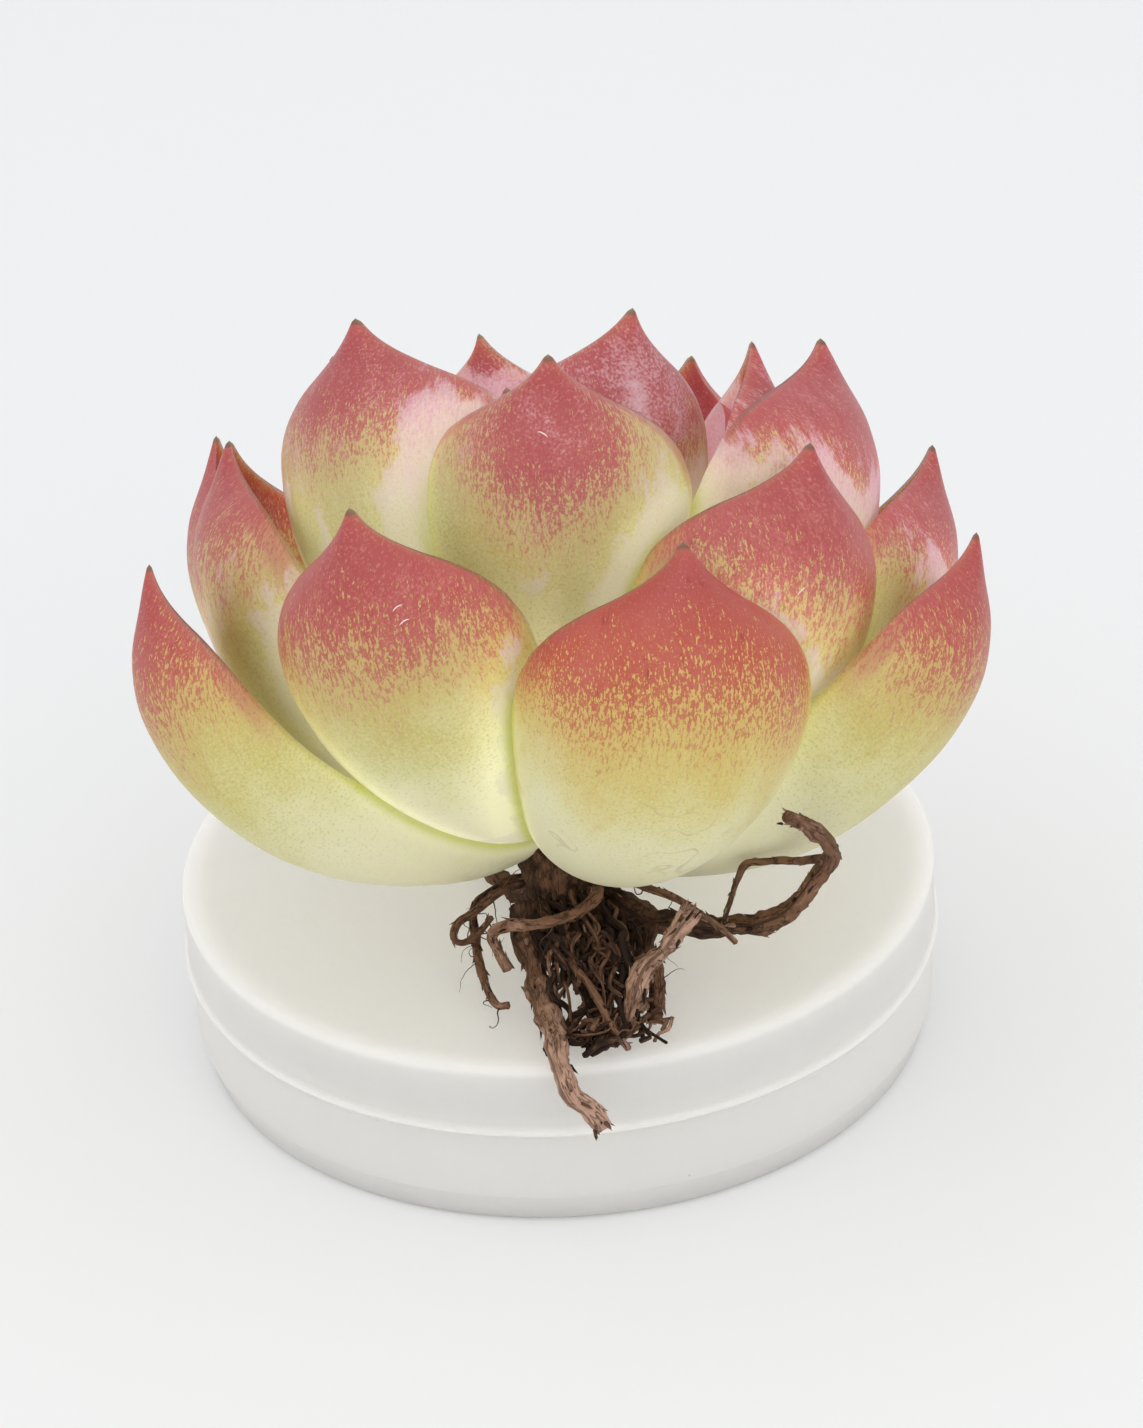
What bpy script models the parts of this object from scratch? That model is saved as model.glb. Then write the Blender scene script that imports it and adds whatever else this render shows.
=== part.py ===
"""Bare-rooted rosette succulent lying tilted back on a round frosted box.

Metres, +Z up. The origin is the centre of the box's foot, the plant's front faces -Y.
The leaves follow the plant's own spiral: one leaf every 137.5 degrees, older leaves lower,
longer and laid further out, younger ones upright around the bud.
"""
import math

import bmesh
import bpy
import numpy as np
from mathutils import Vector

MM = 0.001
GAP = 0.3 * MM              # air left between neighbouring pieces
ROOM = 0.36                 # the same for leaves, in millimetres across their slanted faces

# Round box
BOX_RADIUS = 30.0 * MM
BOX_HEIGHT = 14.5 * MM
SKIRT_HEIGHT = 6.1 * MM     # how far the lid comes down over the dish
WALL = 1.3 * MM
FOOT_BAND = 2.4 * MM        # lower band of the dish, a hair narrower than the wall above
BOX_SEGMENTS = 48

# How the plant lies: its crown stands above the lid behind the front edge, and it leans back
CROWN_FROM_EDGE = 16.6 * MM
CROWN_ABOVE_LID = 7.1 * MM
CROWN = Vector((0.7 * MM, CROWN_FROM_EDGE - BOX_RADIUS, BOX_HEIGHT + CROWN_ABOVE_LID))
LEAN_BACK = math.radians(28.0)
LEAN_SIDE = math.radians(2.0)
CROWN_RADIUS = 3.7 * MM
CORE_RADIUS = 1.9 * MM      # the stem inside the rosette
CORE_LENGTH = 15.0 * MM

# Rosette
LEAF_COUNT = 26
FIRST_LEAF = -3             # spiral number of the oldest leaf, number 0 is the front one
SPIRAL_TURN = 137.508
SPIRAL_START = 17.7         # degrees to the right of straight ahead, for leaf number 0
LEAF_SIZE = 1.0             # scales every leaf's length, width and thickness together
LEAF_LENGTH = 39.0          # oldest leaf, millimetres
LEAF_WIDTH = 22.6
BUD_FROM = 14               # leaves from this number on are still short
BUD_LENGTH = 30.0
BUD_WIDTH = 19.0
LEAF_START_RADIUS = 2.5     # where a leaf leaves the stem
LEAF_START_HEIGHT = 4.0     # height on the stem of the oldest leaf
HEIGHT_STEP = 0.4           # how much higher each younger leaf starts
OUTER_SHRINK = (0.25, 0.06)  # how much shorter and narrower each leaf is than the one before it
BUD_SHRINK = (2.2, 0.6)     # the same inside the bud
OUTER_RISE = (-8.0, 4.3)    # rise at the stem in degrees: the oldest leaf's, and more per leaf
BUD_RISE = (64.0, 2.0)
TIP_RISE = 82.0             # rise at the tip in degrees, nearly upright
BACK_BULGE = 0.60           # depth of the rounded back, as a share of the half width
INNER_HOLLOW = 0.10         # how far the inner face is dished, same measure
MARGIN_LIFT = 0.35          # how far the margins curl inwards
CURL_POWER = 1.15           # above 1 keeps the base straighter than the tip

# Half width and thickness along a leaf, from the stem to the pointed tip
STATIONS = (0.0, 0.09, 0.22, 0.38, 0.55, 0.70, 0.81, 0.90, 0.985)
HALF_WIDTH = (0.24, 0.49, 0.74, 0.90, 0.99, 0.96, 0.78, 0.40, 0.04)
THICKNESS = (0.40, 0.77, 0.95, 1.0, 0.94, 0.80, 0.62, 0.35, 0.08)
CURVE_STEPS = 160           # steps that a leaf's middle line is added up in
LEAF_NOSE = 0.5 * MM        # blunt point that closes a leaf at both ends
ROOM_NOSE = 0.9 * MM        # the same on the room kept free round it
ROOT_NOSE = 0.3 * MM

# Where single leaves depart from the even spiral: turn, length, rise at the stem, rise at
# the tip, half width, height on the stem, roll, sideways sweep (degrees and millimetres)
DEPARTURES = {
    -3: (6, 0, 7, -6, -1.3, 0, 3, -1),
    -2: (-3, 1.7, -10, 5, -2.8, 0.2, -6, 0),
    0: (3.5, -1.8, -18, 11, 0, 0.8, -2, -1.5),
    1: (0, 5, -6, 7, -2.5, 1.6, 6, 0),
    2: (-5.5, 1.2, 0, -4, 0.3, 0, -7, 0.5),
    3: (0.5, -1.8, -11, -6, -1, 0, 6, 1.6),
    5: (1, -1.5, -3.5, 2, 0.2, -2.2, -8, 0),
    6: (-6, 0, -9, 2, 1.4, -1.6, -4, 2),
    7: (2.5, -2, 14, 4, -0.5, 0, 0, 0),
    8: (1, -2.6, 4, -6, -0.5, 1.4, 0, 0),
    9: (7, 2, -5, -5, 0, 0, 0, 0.7),
    10: (5, 0, -12, 4, 3, 0.6, -7, -0.8),
    11: (2, -0.5, -5, 6, 1.8, 0.7, 8, -2.6),
    12: (0, -3, 0, 0, 0, 0, 0, 0),
    13: (-3, -1.2, 17, -6, -0.6, -1.5, 6, 1.4),
    15: (-14, 7, -18, 8, 0.4, -3, -5, 0),
    17: (0, 8, 0, -10, -0.7, -0.5, 3, 1.4),
}

# Roots: radius at the crown end and at the tip, then the points each one runs through, in
# millimetres from the foremost point of the lid's top edge: right, back, up
ROOTS = {
    "root_long": (1.20, 0.62, (
        (-2.6, 13.4, 5.6), (-2.5, 11.5, 4.3), (-2.2, 9.0, 3.0), (-1.6, 5.5, 2.2), (-1.1, 2.0, 1.6),
        (-0.6, -1.0, 0.9), (0.1, -2.5, -0.4), (1.1, -3.0, -1.6), (2.2, -3.1, -3.4))),
    "root_cross": (0.45, 0.42, (
        (2.4, 13.4, 7.0), (3.0, 11.0, 8.3), (1.8, 9.0, 8.2), (-0.2, 8.4, 7.7), (-2.4, 8.6, 7.3),
        (-4.2, 9.2, 6.9), (-5.2, 9.6, 5.9), (-4.9, 9.2, 4.5), (-4.3, 8.6, 3.4))),
    "root_broken": (0.62, 0.80, (
        (3.2, 2.6, 1.1), (4.2, 2.8, 1.6), (4.9, 3.6, 3.2), (6.0, 4.6, 5.0), (7.6, 5.4, 6.3),
        (8.8, 6.0, 7.7), (9.9, 6.8, 9.2))),
    "root_arch": (0.95, 0.50, (
        (3.2, 14.6, 6.2), (4.8, 13.5, 5.5), (7.1, 12.4, 4.7), (9.7, 11.6, 4.4), (12.3, 11.0, 4.5),
        (14.9, 10.0, 5.0), (17.2, 8.8, 7.3), (19.2, 7.4, 10.6), (20.2, 5.6, 13.8), (18.9, 3.8, 16.9),
        (16.9, 2.6, 19.2))),
    "root_wiry": (0.30, 0.20, (
        (19.6, 6.8, 12.7), (18.2, 7.8, 12.0), (16.9, 8.7, 11.4), (15.7, 9.1, 11.2), (14.0, 9.4, 11.0),
        (13.3, 9.7, 9.1), (12.8, 10.0, 7.2), (12.2, 10.6, 5.2))),
    "root_left_loop": (0.34, 0.24, (
        (-2.2, 15.2, 7.0), (-4.6, 14.4, 6.6), (-6.3, 13.6, 5.8), (-7.8, 12.8, 5.1), (-8.2, 12.0, 4.2),
        (-7.5, 11.7, 3.9), (-6.2, 12.2, 4.6), (-5.3, 12.6, 5.6))),
    "root_left_drop": (0.40, 0.28, (
        (-2.4, 16.8, 6.2), (-4.8, 16.4, 5.8), (-6.6, 15.2, 4.5), (-6.6, 13.0, 3.0), (-6.1, 10.0, 1.9),
        (-5.3, 7.6, 1.1), (-4.4, 6.9, 1.3))),
    "root_stub": (0.55, 0.60, (
        (6.8, 11.8, 4.4), (6.5, 10.4, 3.9), (7.1, 8.4, 2.8), (7.0, 6.4, 1.5), (6.6, 4.8, 1.0))),
    "root_side": (0.34, 0.22, (
        (3.2, 14.0, 8.0), (5.4, 11.6, 8.6), (8.0, 9.2, 8.9), (10.2, 9.0, 7.2), (11.6, 8.6, 6.3),
        (13.0, 7.8, 5.0))),
    "root_mid": (1.45, 0.55, (
        (1.0, 13.6, 4.7), (1.6, 10.8, 3.3), (2.0, 7.2, 2.2), (2.6, 3.6, 1.1), (2.5, 1.4, 0.9))),
    "root_right_mid": (1.10, 0.60, (
        (3.2, 16.2, 5.6), (4.2, 15.4, 4.2), (5.0, 14.0, 2.7), (5.4, 11.4, 1.8), (4.6, 8.6, 1.3))),
    "root_front_loop": (0.30, 0.24, (
        (1.3, 9.4, 4.4), (0.6, 7.6, 5.1), (0.8, 6.0, 4.9), (1.8, 4.4, 4.1), (2.8, 3.0, 3.0),
        (3.6, 1.6, 1.8), (4.4, 0.8, 0.8))),
    "root_back": (1.00, 0.45, (
        (-0.9, 18.2, 4.8), (-1.8, 19.9, 3.6), (-2.6, 21.0, 2.4), (-3.6, 22.8, 1.4), (-5.0, 25.6, 0.9),
        (-6.4, 28.4, 0.8))),
}
ROOT_SIDES = 6
CROWN_SEGMENTS = 14

LEAF_GREEN = (0.62, 0.63, 0.28)
LEAF_RED = (0.60, 0.20, 0.18)
OLDEST_BLUSH, YOUNGEST_BLUSH = 0.35, 0.55   # how far a leaf's plain colour goes towards red
ROOT_BROWN = (0.23, 0.14, 0.09)
FROSTED = (0.82, 0.81, 0.79)


def clear_scene():
    for old in list(bpy.data.objects):
        bpy.data.objects.remove(old, do_unlink=True)


def plant_axes():
    """Unit vectors of the leaning plant: towards its front, its right side, and up its stem."""
    up = Vector((math.sin(LEAN_SIDE), math.cos(LEAN_SIDE) * math.sin(LEAN_BACK),
                 math.cos(LEAN_SIDE) * math.cos(LEAN_BACK)))
    front = Vector((0.0, -math.cos(LEAN_BACK), math.sin(LEAN_BACK)))
    front = (front - up * front.dot(up)).normalized()
    return front, front.cross(up) * -1.0, up


FRONT, RIGHT, UP = plant_axes()


def to_plant(points):
    """Points given as (front, right, up) in the plant, returned where they are in the part."""
    frame = np.array([FRONT, RIGHT, UP])
    return np.array(CROWN) + np.asarray(points, float) @ frame


def leaf_plan(number):
    """Every measure of one leaf, from the growth laws and its own departure from them."""
    age = number - FIRST_LEAF
    turn, longer, rise, curl, wider, higher, roll, sweep = DEPARTURES.get(number, (0,) * 8)
    if number < BUD_FROM:
        steps, first_length, first_width = age, LEAF_LENGTH, LEAF_WIDTH
        shrink, first_rise = OUTER_SHRINK, OUTER_RISE
    else:
        steps, first_length, first_width = number - BUD_FROM, BUD_LENGTH, BUD_WIDTH
        shrink, first_rise = BUD_SHRINK, BUD_RISE
    length = first_length - shrink[0] * steps
    half_width = first_width / 2 - shrink[1] * steps
    start = first_rise[0] + first_rise[1] * steps
    return {
        "turn": math.radians(SPIRAL_START - SPIRAL_TURN * number + turn),
        "length": (length + longer) * LEAF_SIZE,
        "start": math.radians(start + rise),
        "end": math.radians(TIP_RISE + curl),
        "half_width": (half_width + wider) * LEAF_SIZE,
        "height": LEAF_START_HEIGHT + HEIGHT_STEP * age + higher,
        "roll": math.radians(roll),
        "sweep": sweep,
    }


def running_sum(values):
    """The area under evenly spaced values, up to each of them, with a step of 1."""
    return np.concatenate([[0.0], np.cumsum((values[1:] + values[:-1]) / 2)])


def leaf_surface(plan, grow=0.0):
    """Rows of points around a leaf, from the stem to the tip, in metres; grow is in millimetres.

    The leaf's middle line curves up from the stem. Around it each row is a rounded back
    and a dished inner face that meet in the two margins."""
    fine = np.linspace(0.0, 1.0, CURVE_STEPS + 1)
    angle = plan["start"] + (plan["end"] - plan["start"]) * fine ** CURL_POWER
    step = plan["length"] / CURVE_STEPS
    out = LEAF_START_RADIUS + running_sum(np.cos(angle)) * step
    high = plan["height"] + running_sum(np.sin(angle)) * step

    rows = np.array(STATIONS)
    wide = plan["half_width"] * np.array(HALF_WIDTH)
    thick = plan["half_width"] * np.array(THICKNESS)
    radius = np.interp(rows, fine, out)[:, None]
    height = np.interp(rows, fine, high)[:, None]
    slope = np.interp(rows, fine, angle)[:, None]

    back = np.linspace(-1.0, 1.0, 7) * math.pi / 2
    face = np.array([0.5, 0.0, -0.5]) * math.pi / 2
    lift = (MARGIN_LIFT * wide)[:, None]
    bulge = (BACK_BULGE * thick + 2 * grow)[:, None]
    hollow = (INNER_HOLLOW * thick)[:, None]
    across = (wide + grow)[:, None] * np.sin(np.concatenate([back, face]))[None, :]
    inward = grow + lift - np.concatenate([(lift + bulge) * np.cos(back)[None, :],
                                           (lift + hollow) * np.cos(face)[None, :] ** 2], axis=1)
    cos_roll, sin_roll = math.cos(plan["roll"]), math.sin(plan["roll"])
    across, inward = (across * cos_roll - inward * sin_roll + plan["sweep"] * rows[:, None] ** 2,
                      across * sin_roll + inward * cos_roll)

    radial = radius - np.sin(slope) * inward
    upward = height + np.cos(slope) * inward
    cos_turn, sin_turn = math.cos(plan["turn"]), math.sin(plan["turn"])
    grid = np.stack([radial * cos_turn - across * sin_turn,
                     radial * sin_turn + across * cos_turn, upward], axis=-1) * MM
    return to_plant(grid.reshape(-1, 3)).reshape(grid.shape)


def mesh_object(name, verts, faces):
    """A closed body with its faces turned out."""
    mesh = bpy.data.meshes.new(name)
    mesh.from_pydata([tuple(v) for v in verts], [], faces)
    body = bmesh.new()
    body.from_mesh(mesh)
    bmesh.ops.recalc_face_normals(body, faces=body.faces)
    bmesh.ops.triangulate(body, faces=body.faces)
    body.to_mesh(mesh)
    body.free()
    obj = bpy.data.objects.new(name, mesh)
    bpy.context.scene.collection.objects.link(obj)
    return obj


def tube_object(name, grid, nose):
    """A body from rows of points, each row a ring, closed by a blunt point at both ends."""
    rows, ring = grid.shape[:2]
    verts = list(grid.reshape(-1, 3))
    for end, before in ((grid[0], grid[1]), (grid[-1], grid[-2])):
        onward = end.mean(axis=0) - before.mean(axis=0)
        verts.append(end.mean(axis=0) + onward / np.linalg.norm(onward) * nose)
    faces = []
    for i in range(rows - 1):
        for j in range(ring):
            k = (j + 1) % ring
            faces.append((i * ring + j, i * ring + k, (i + 1) * ring + k, (i + 1) * ring + j))
    first, last = rows * ring, rows * ring + 1
    for j in range(ring):
        k = (j + 1) % ring
        faces.append((first, k, j))
        faces.append((last, (rows - 1) * ring + j, (rows - 1) * ring + k))
    return mesh_object(name, verts, faces)


def lathe_object(name, outline, segments, place=lambda points: points):
    """A body turned from an outline of (radius, height), both ends on the axis."""
    verts, faces, rings = [], [], []
    for radius, height in outline:
        if radius <= 0:
            rings.append([len(verts)])
            verts.append((0.0, 0.0, height))
        else:
            rings.append(list(range(len(verts), len(verts) + segments)))
            for s in range(segments):
                a = 2 * math.pi * s / segments
                verts.append((radius * math.cos(a), radius * math.sin(a), height))
    for low, high in zip(rings, rings[1:]):
        for s in range(segments):
            n = (s + 1) % segments
            if len(low) == 1:
                faces.append((low[0], high[n], high[s]))
            elif len(high) == 1:
                faces.append((low[s], low[n], high[0]))
            else:
                faces.append((low[s], low[n], high[n], high[s]))
    return mesh_object(name, place(np.array(verts)), faces)


def root_grid(start_radius, end_radius, points, grow=0.0):
    """Rings along a smooth line through the points, a little knobbly like a dried root."""
    line = smooth_line(np.array(points, float) * MM + np.array([0, -BOX_RADIUS, BOX_HEIGHT]), 2)
    count = len(line)
    tangent = np.gradient(line, axis=0)
    tangent /= np.linalg.norm(tangent, axis=1, keepdims=True)
    side = np.cross(tangent, np.array([0.31, 0.17, 0.93]))
    side /= np.linalg.norm(side, axis=1, keepdims=True)
    other = np.cross(tangent, side)
    share = np.linspace(0.0, 1.0, count)
    radius = (start_radius + (end_radius - start_radius) * share) * MM
    radius = radius * (1.0 + 0.08 * np.sin(share * 17.0 + start_radius * 9.0)) + grow
    line[0] -= tangent[0] * grow
    line[-1] += tangent[-1] * grow
    turns = np.arange(ROOT_SIDES) * 2 * math.pi / ROOT_SIDES
    around = (np.cos(turns)[None, :, None] * side[:, None, :]
              + np.sin(turns)[None, :, None] * other[:, None, :])
    return line[:, None, :] + radius[:, None, None] * around


def smooth_line(points, steps):
    """A rounded line through the points, with the given number of steps between each pair."""
    ends = np.vstack([2 * points[0] - points[1], points, 2 * points[-1] - points[-2]])
    line = []
    for a, b, c, d in zip(ends, ends[1:], ends[2:], ends[3:]):
        for t in np.arange(steps) / steps:
            line.append(0.5 * (2 * b + (c - a) * t + (2 * a - 5 * b + 4 * c - d) * t ** 2
                               + (3 * b - a - 3 * c + d) * t ** 3))
    line.append(points[-1])
    return np.array(line)


def bounds_meet(a, b):
    """True when two bodies' boxes overlap."""
    a_low, a_high = np.array(a).min(axis=0), np.array(a).max(axis=0)
    b_low, b_high = np.array(b).min(axis=0), np.array(b).max(axis=0)
    return bool((a_low < b_high).all() and (b_low < a_high).all())


def corners(obj):
    return [tuple(v.co) for v in obj.data.vertices]


def cut_back(obj, cutters):
    """Takes the cutters out of a body, keeps its largest piece and drops the trimmings.

    The exact solver leaves open edges where two leaf skins graze each other over a long
    stretch. The manifold solver keeps these closed bodies closed."""
    for cutter in cutters:
        if not bounds_meet(corners(obj), corners(cutter)):
            continue
        modifier = obj.modifiers.new("cut", "BOOLEAN")
        modifier.operation = "DIFFERENCE"
        modifier.solver = "MANIFOLD"
        modifier.object = cutter
        bpy.context.view_layer.update()
        mesh = bpy.data.meshes.new_from_object(obj.evaluated_get(bpy.context.evaluated_depsgraph_get()))
        obj.modifiers.clear()
        obj.data = mesh
        keep_largest(obj)


def keep_largest(obj):
    body = bmesh.new()
    body.from_mesh(obj.data)
    bmesh.ops.dissolve_degenerate(body, edges=body.edges, dist=0.000002)
    # Dissolving a sliver can leave a pinhole
    bmesh.ops.holes_fill(body, edges=[edge for edge in body.edges if edge.is_boundary], sides=8)
    bmesh.ops.triangulate(body, faces=body.faces)
    left, islands = set(body.verts), []
    while left:
        island, front = set(), [left.pop()]
        while front:
            vert = front.pop()
            island.add(vert)
            for edge in vert.link_edges:
                other = edge.other_vert(vert)
                if other in left:
                    left.discard(other)
                    front.append(other)
        islands.append(island)
    islands.sort(key=len)
    for island in islands[:-1]:
        bmesh.ops.delete(body, geom=list(island), context="VERTS")
    body.to_mesh(obj.data)
    body.free()


def hidden_cutter(obj):
    obj.hide_render = True
    obj.display_type = "WIRE"
    return obj


def finish(obj, colour, roughness, sharp_angle):
    """Smooth shading with crisp edges only where faces really turn, and the piece's material."""
    for polygon in obj.data.polygons:
        polygon.use_smooth = True
    obj.data.set_sharp_from_angle(angle=math.radians(sharp_angle))
    material = bpy.data.materials.new(obj.name)
    material.use_nodes = True
    shader = material.node_tree.nodes["Principled BSDF"]
    shader.inputs["Base Color"].default_value = (*colour, 1.0)
    shader.inputs["Roughness"].default_value = roughness
    material.diffuse_color = (*colour, 1.0)
    obj.data.materials.clear()
    obj.data.materials.append(material)


def build_box():
    """The lid is a shallow cap that slips over the dish's neck, the dish is hollow."""
    top, skirt_edge = BOX_HEIGHT, BOX_HEIGHT - SKIRT_HEIGHT
    edge = 0.45 * MM
    lid = lathe_object("frosted_lid", (
        (0, top - WALL), (BOX_RADIUS - WALL, top - WALL), (BOX_RADIUS - WALL, skirt_edge),
        (BOX_RADIUS - 0.2 * MM, skirt_edge), (BOX_RADIUS, skirt_edge + 0.2 * MM), (BOX_RADIUS, top - edge),
        (BOX_RADIUS - 0.3 * edge, top - 0.3 * edge), (BOX_RADIUS - edge, top), (0, top)), BOX_SEGMENTS)
    wall = BOX_RADIUS - 0.2 * MM
    neck = BOX_RADIUS - WALL - GAP
    inner = neck - WALL
    shoulder = skirt_edge - GAP
    dish = lathe_object("frosted_dish", (
        (0, 0), (wall - 0.9 * MM, 0), (wall - 0.35 * MM, 0.5 * MM), (wall - 0.25 * MM, FOOT_BAND),
        (wall, FOOT_BAND + 0.2 * MM), (wall, shoulder - 0.3 * MM), (wall - 0.3 * MM, shoulder),
        (neck, shoulder), (neck, top - WALL - GAP), (inner, top - WALL - GAP), (inner, WALL + 0.8 * MM),
        (inner - 0.8 * MM, WALL), (0, WALL)), BOX_SEGMENTS)
    finish(lid, FROSTED, 0.45, 30)
    finish(dish, FROSTED, 0.45, 30)
    return lid, dish


def build_leaves():
    """Each leaf is trimmed where an older leaf already stands, so that none of them overlap."""
    numbers = range(FIRST_LEAF, FIRST_LEAF + LEAF_COUNT)
    leaves, older = [], []
    for place, number in enumerate(numbers, 1):
        plan = leaf_plan(number)
        leaf = tube_object(f"leaf_{place:02d}", leaf_surface(plan), LEAF_NOSE)
        cut_back(leaf, older)
        leaves.append(leaf)
        older.append(hidden_cutter(tube_object(f"room_{place:02d}", leaf_surface(plan, ROOM), ROOM_NOSE)))
    return leaves, older


def build_crown(older):
    """The short bare stem under the leaves and the thin core they grow from."""
    wide, core, top = CROWN_RADIUS, CORE_RADIUS, CORE_LENGTH
    outline = ((0, -1.24 * wide), (0.43 * wide, -1.22 * wide), (0.70 * wide, -1.03 * wide),
               (0.89 * wide, -0.65 * wide), (wide, 0.11 * wide), (0.95 * wide, 0.59 * wide),
               (0.78 * wide, 0.92 * wide), (core, 1.24 * wide), (0.9 * core, 0.8 * top),
               (0.4 * core, top - GAP), (0, top))
    crown = lathe_object("crown", outline, CROWN_SEGMENTS, to_plant)
    grown = [(radius + GAP if radius else 0, height + math.copysign(GAP, height))
             for radius, height in outline]
    room = lathe_object("room_crown", grown, CROWN_SEGMENTS, to_plant)
    cut_back(crown, older)
    finish(crown, ROOT_BROWN, 0.85, 50)
    return crown, hidden_cutter(room)


def build_roots(blocked):
    """Dried roots that fall forward from the crown onto the lid and over its front edge."""
    roots = []
    for name, (start_radius, end_radius, points) in ROOTS.items():
        root = tube_object(name, root_grid(start_radius, end_radius, points), ROOT_NOSE)
        cut_back(root, blocked)
        room = tube_object("room_" + name, root_grid(start_radius, end_radius, points, GAP), ROOT_NOSE)
        blocked.append(hidden_cutter(room))
        finish(root, ROOT_BROWN, 0.85, 60)
        roots.append(root)
    return roots


def lid_room():
    """The space the lid takes, with the gap around it, used to keep the plant off it."""
    edge, low, high = BOX_RADIUS + GAP, BOX_HEIGHT - SKIRT_HEIGHT, BOX_HEIGHT + GAP
    outline = ((0, low), (edge, low), (edge, high), (0, high))
    return hidden_cutter(lathe_object("room_lid", outline, BOX_SEGMENTS))


def main():
    clear_scene()
    build_box()
    leaves, older = build_leaves()
    lid = lid_room()
    for place, leaf in enumerate(leaves, 1):
        cut_back(leaf, [lid])
        blush = YOUNGEST_BLUSH * place / LEAF_COUNT + OLDEST_BLUSH * (1 - place / LEAF_COUNT)
        colour = [g + (r - g) * blush for g, r in zip(LEAF_GREEN, LEAF_RED)]
        finish(leaf, colour, 0.5, 50)
    crown, crown_room = build_crown(older + [lid])
    build_roots(older + [lid, crown_room])
    for obj in list(bpy.data.objects):
        if obj.name.startswith("room_"):
            bpy.data.objects.remove(obj, do_unlink=True)


main()
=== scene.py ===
"""Looks for a rosette succulent that lies, bare-rooted, on a round frosted box.

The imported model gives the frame. Every leaf, root and shell here stands where its plain
counterpart stands, with the finished shape and skin. Lengths inside the functions are
millimetres: a leaf's in the plant's own axes until to_plant() places it, a root's from the
foremost point of the lid's top edge until make_tubes() does. Objects are in metres.
"""
import math

import bmesh
import bpy
import numpy as np
from bpy.props import FloatProperty, FloatVectorProperty, IntProperty, PointerProperty
from mathutils import Matrix, Vector
from mathutils.bvhtree import BVHTree
from mathutils.noise import noise


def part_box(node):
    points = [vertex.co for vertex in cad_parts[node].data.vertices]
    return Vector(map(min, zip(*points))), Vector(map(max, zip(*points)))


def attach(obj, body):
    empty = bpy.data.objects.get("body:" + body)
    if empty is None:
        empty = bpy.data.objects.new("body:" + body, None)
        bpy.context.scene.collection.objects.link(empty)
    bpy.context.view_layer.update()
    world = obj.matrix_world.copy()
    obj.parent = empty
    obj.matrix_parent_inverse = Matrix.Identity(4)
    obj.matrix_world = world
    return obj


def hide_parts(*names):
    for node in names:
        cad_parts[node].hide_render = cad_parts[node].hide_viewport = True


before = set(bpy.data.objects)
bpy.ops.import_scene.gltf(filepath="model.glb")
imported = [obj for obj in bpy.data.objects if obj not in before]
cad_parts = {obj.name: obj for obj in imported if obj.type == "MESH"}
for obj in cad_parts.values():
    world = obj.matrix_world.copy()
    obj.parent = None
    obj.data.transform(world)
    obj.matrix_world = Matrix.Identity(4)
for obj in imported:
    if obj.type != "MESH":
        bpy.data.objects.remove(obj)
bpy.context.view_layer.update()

bl_info = {
    "name": "Rosette succulent on a frosted box",
    "version": (1, 0, 0),
    "blender": (4, 5, 0),
    "location": "3D View > Sidebar > Succulent",
    "description": "Builds the leaves, roots, box and stage of a rosette succulent",
    "category": "Object",
}

MM = 0.001
LID_LOW, LID_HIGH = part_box("frosted_lid")
DISH_LOW, DISH_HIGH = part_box("frosted_dish")
LID_TOP = LID_HIGH.z / MM
BOX_RADIUS = LID_HIGH.x / MM
SKIRT_EDGE = LID_LOW.z / MM
LID_FRONT = np.array((0.0, -BOX_RADIUS, LID_TOP))   # foremost point of the lid's top edge
GAP = 0.3
WALL = 1.3
FOOT_BAND = 2.4

CROWN = Vector((0.7, 16.6 - BOX_RADIUS, LID_TOP + 7.1))   # where the leaves start, millimetres
LEAF_NAMES = sorted(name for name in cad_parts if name.startswith("leaf_"))
FIRST_LEAF = -3                               # spiral number of leaf_01
BUD_FROM = 14                                 # leaves from this number on are still short
LEAF_START_RADIUS = 2.5
LEAF_START_HEIGHT = 4.0                       # height on the stem of the oldest leaf
HEIGHT_STEP = 0.4                             # how much higher each younger leaf starts
OUTER_SHRINK = (0.25, 0.06)                   # how much shorter and narrower each next leaf is
BUD_SHRINK = (2.2, 0.6)                       # the same inside the bud
OUTER_RISE = (-8.0, 4.3)                      # rise at the stem: the oldest leaf's, more per leaf
BUD_RISE = (64.0, 2.0)                        # the same inside the bud, in degrees
TIP_RISE = 82.0                               # rise at the tip in degrees, nearly upright
CURL_POWER = 1.15
CURVE_STEPS = 240                             # steps that a leaf's middle line is added up in
LEAF_ROWS, BACK_POINTS, FACE_POINTS = 70, 39, 21
LEAF_RING = BACK_POINTS + FACE_POINTS - 2     # points round a leaf; back and face share two
LEAF_NOSE = 0.25                              # blunt point that closes a leaf at both ends
BOX_SEGMENTS = 256
CROWN_ROWS, CROWN_SEGMENTS = 90, 72
ROW_CROWDING = 1.3                            # above 1 puts more rows near the pointed end
NEAR = 9.0                                    # leaves further apart than this don't touch the wax
COVERED_WIDTH = 3.0                           # how fast the wax fades from where an older leaf lay

# A leaf's half width and thickness from the stem (0) to the point (1), as shares of the widest
WIDTH_LAW = ((0, 0.45), (0.10, 0.58), (0.25, 0.77), (0.40, 0.91), (0.52, 0.98), (0.636, 1.0),
             (0.72, 0.95), (0.79, 0.83), (0.85, 0.63), (0.90, 0.38), (0.94, 0.20), (0.97, 0.10), (1, 0.03))
THICKNESS_LAW = ((0, 0.62), (0.15, 0.86), (0.40, 1.0), (0.60, 0.95), (0.75, 0.80), (0.85, 0.55),
                 (0.93, 0.25), (1, 0.05))

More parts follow.
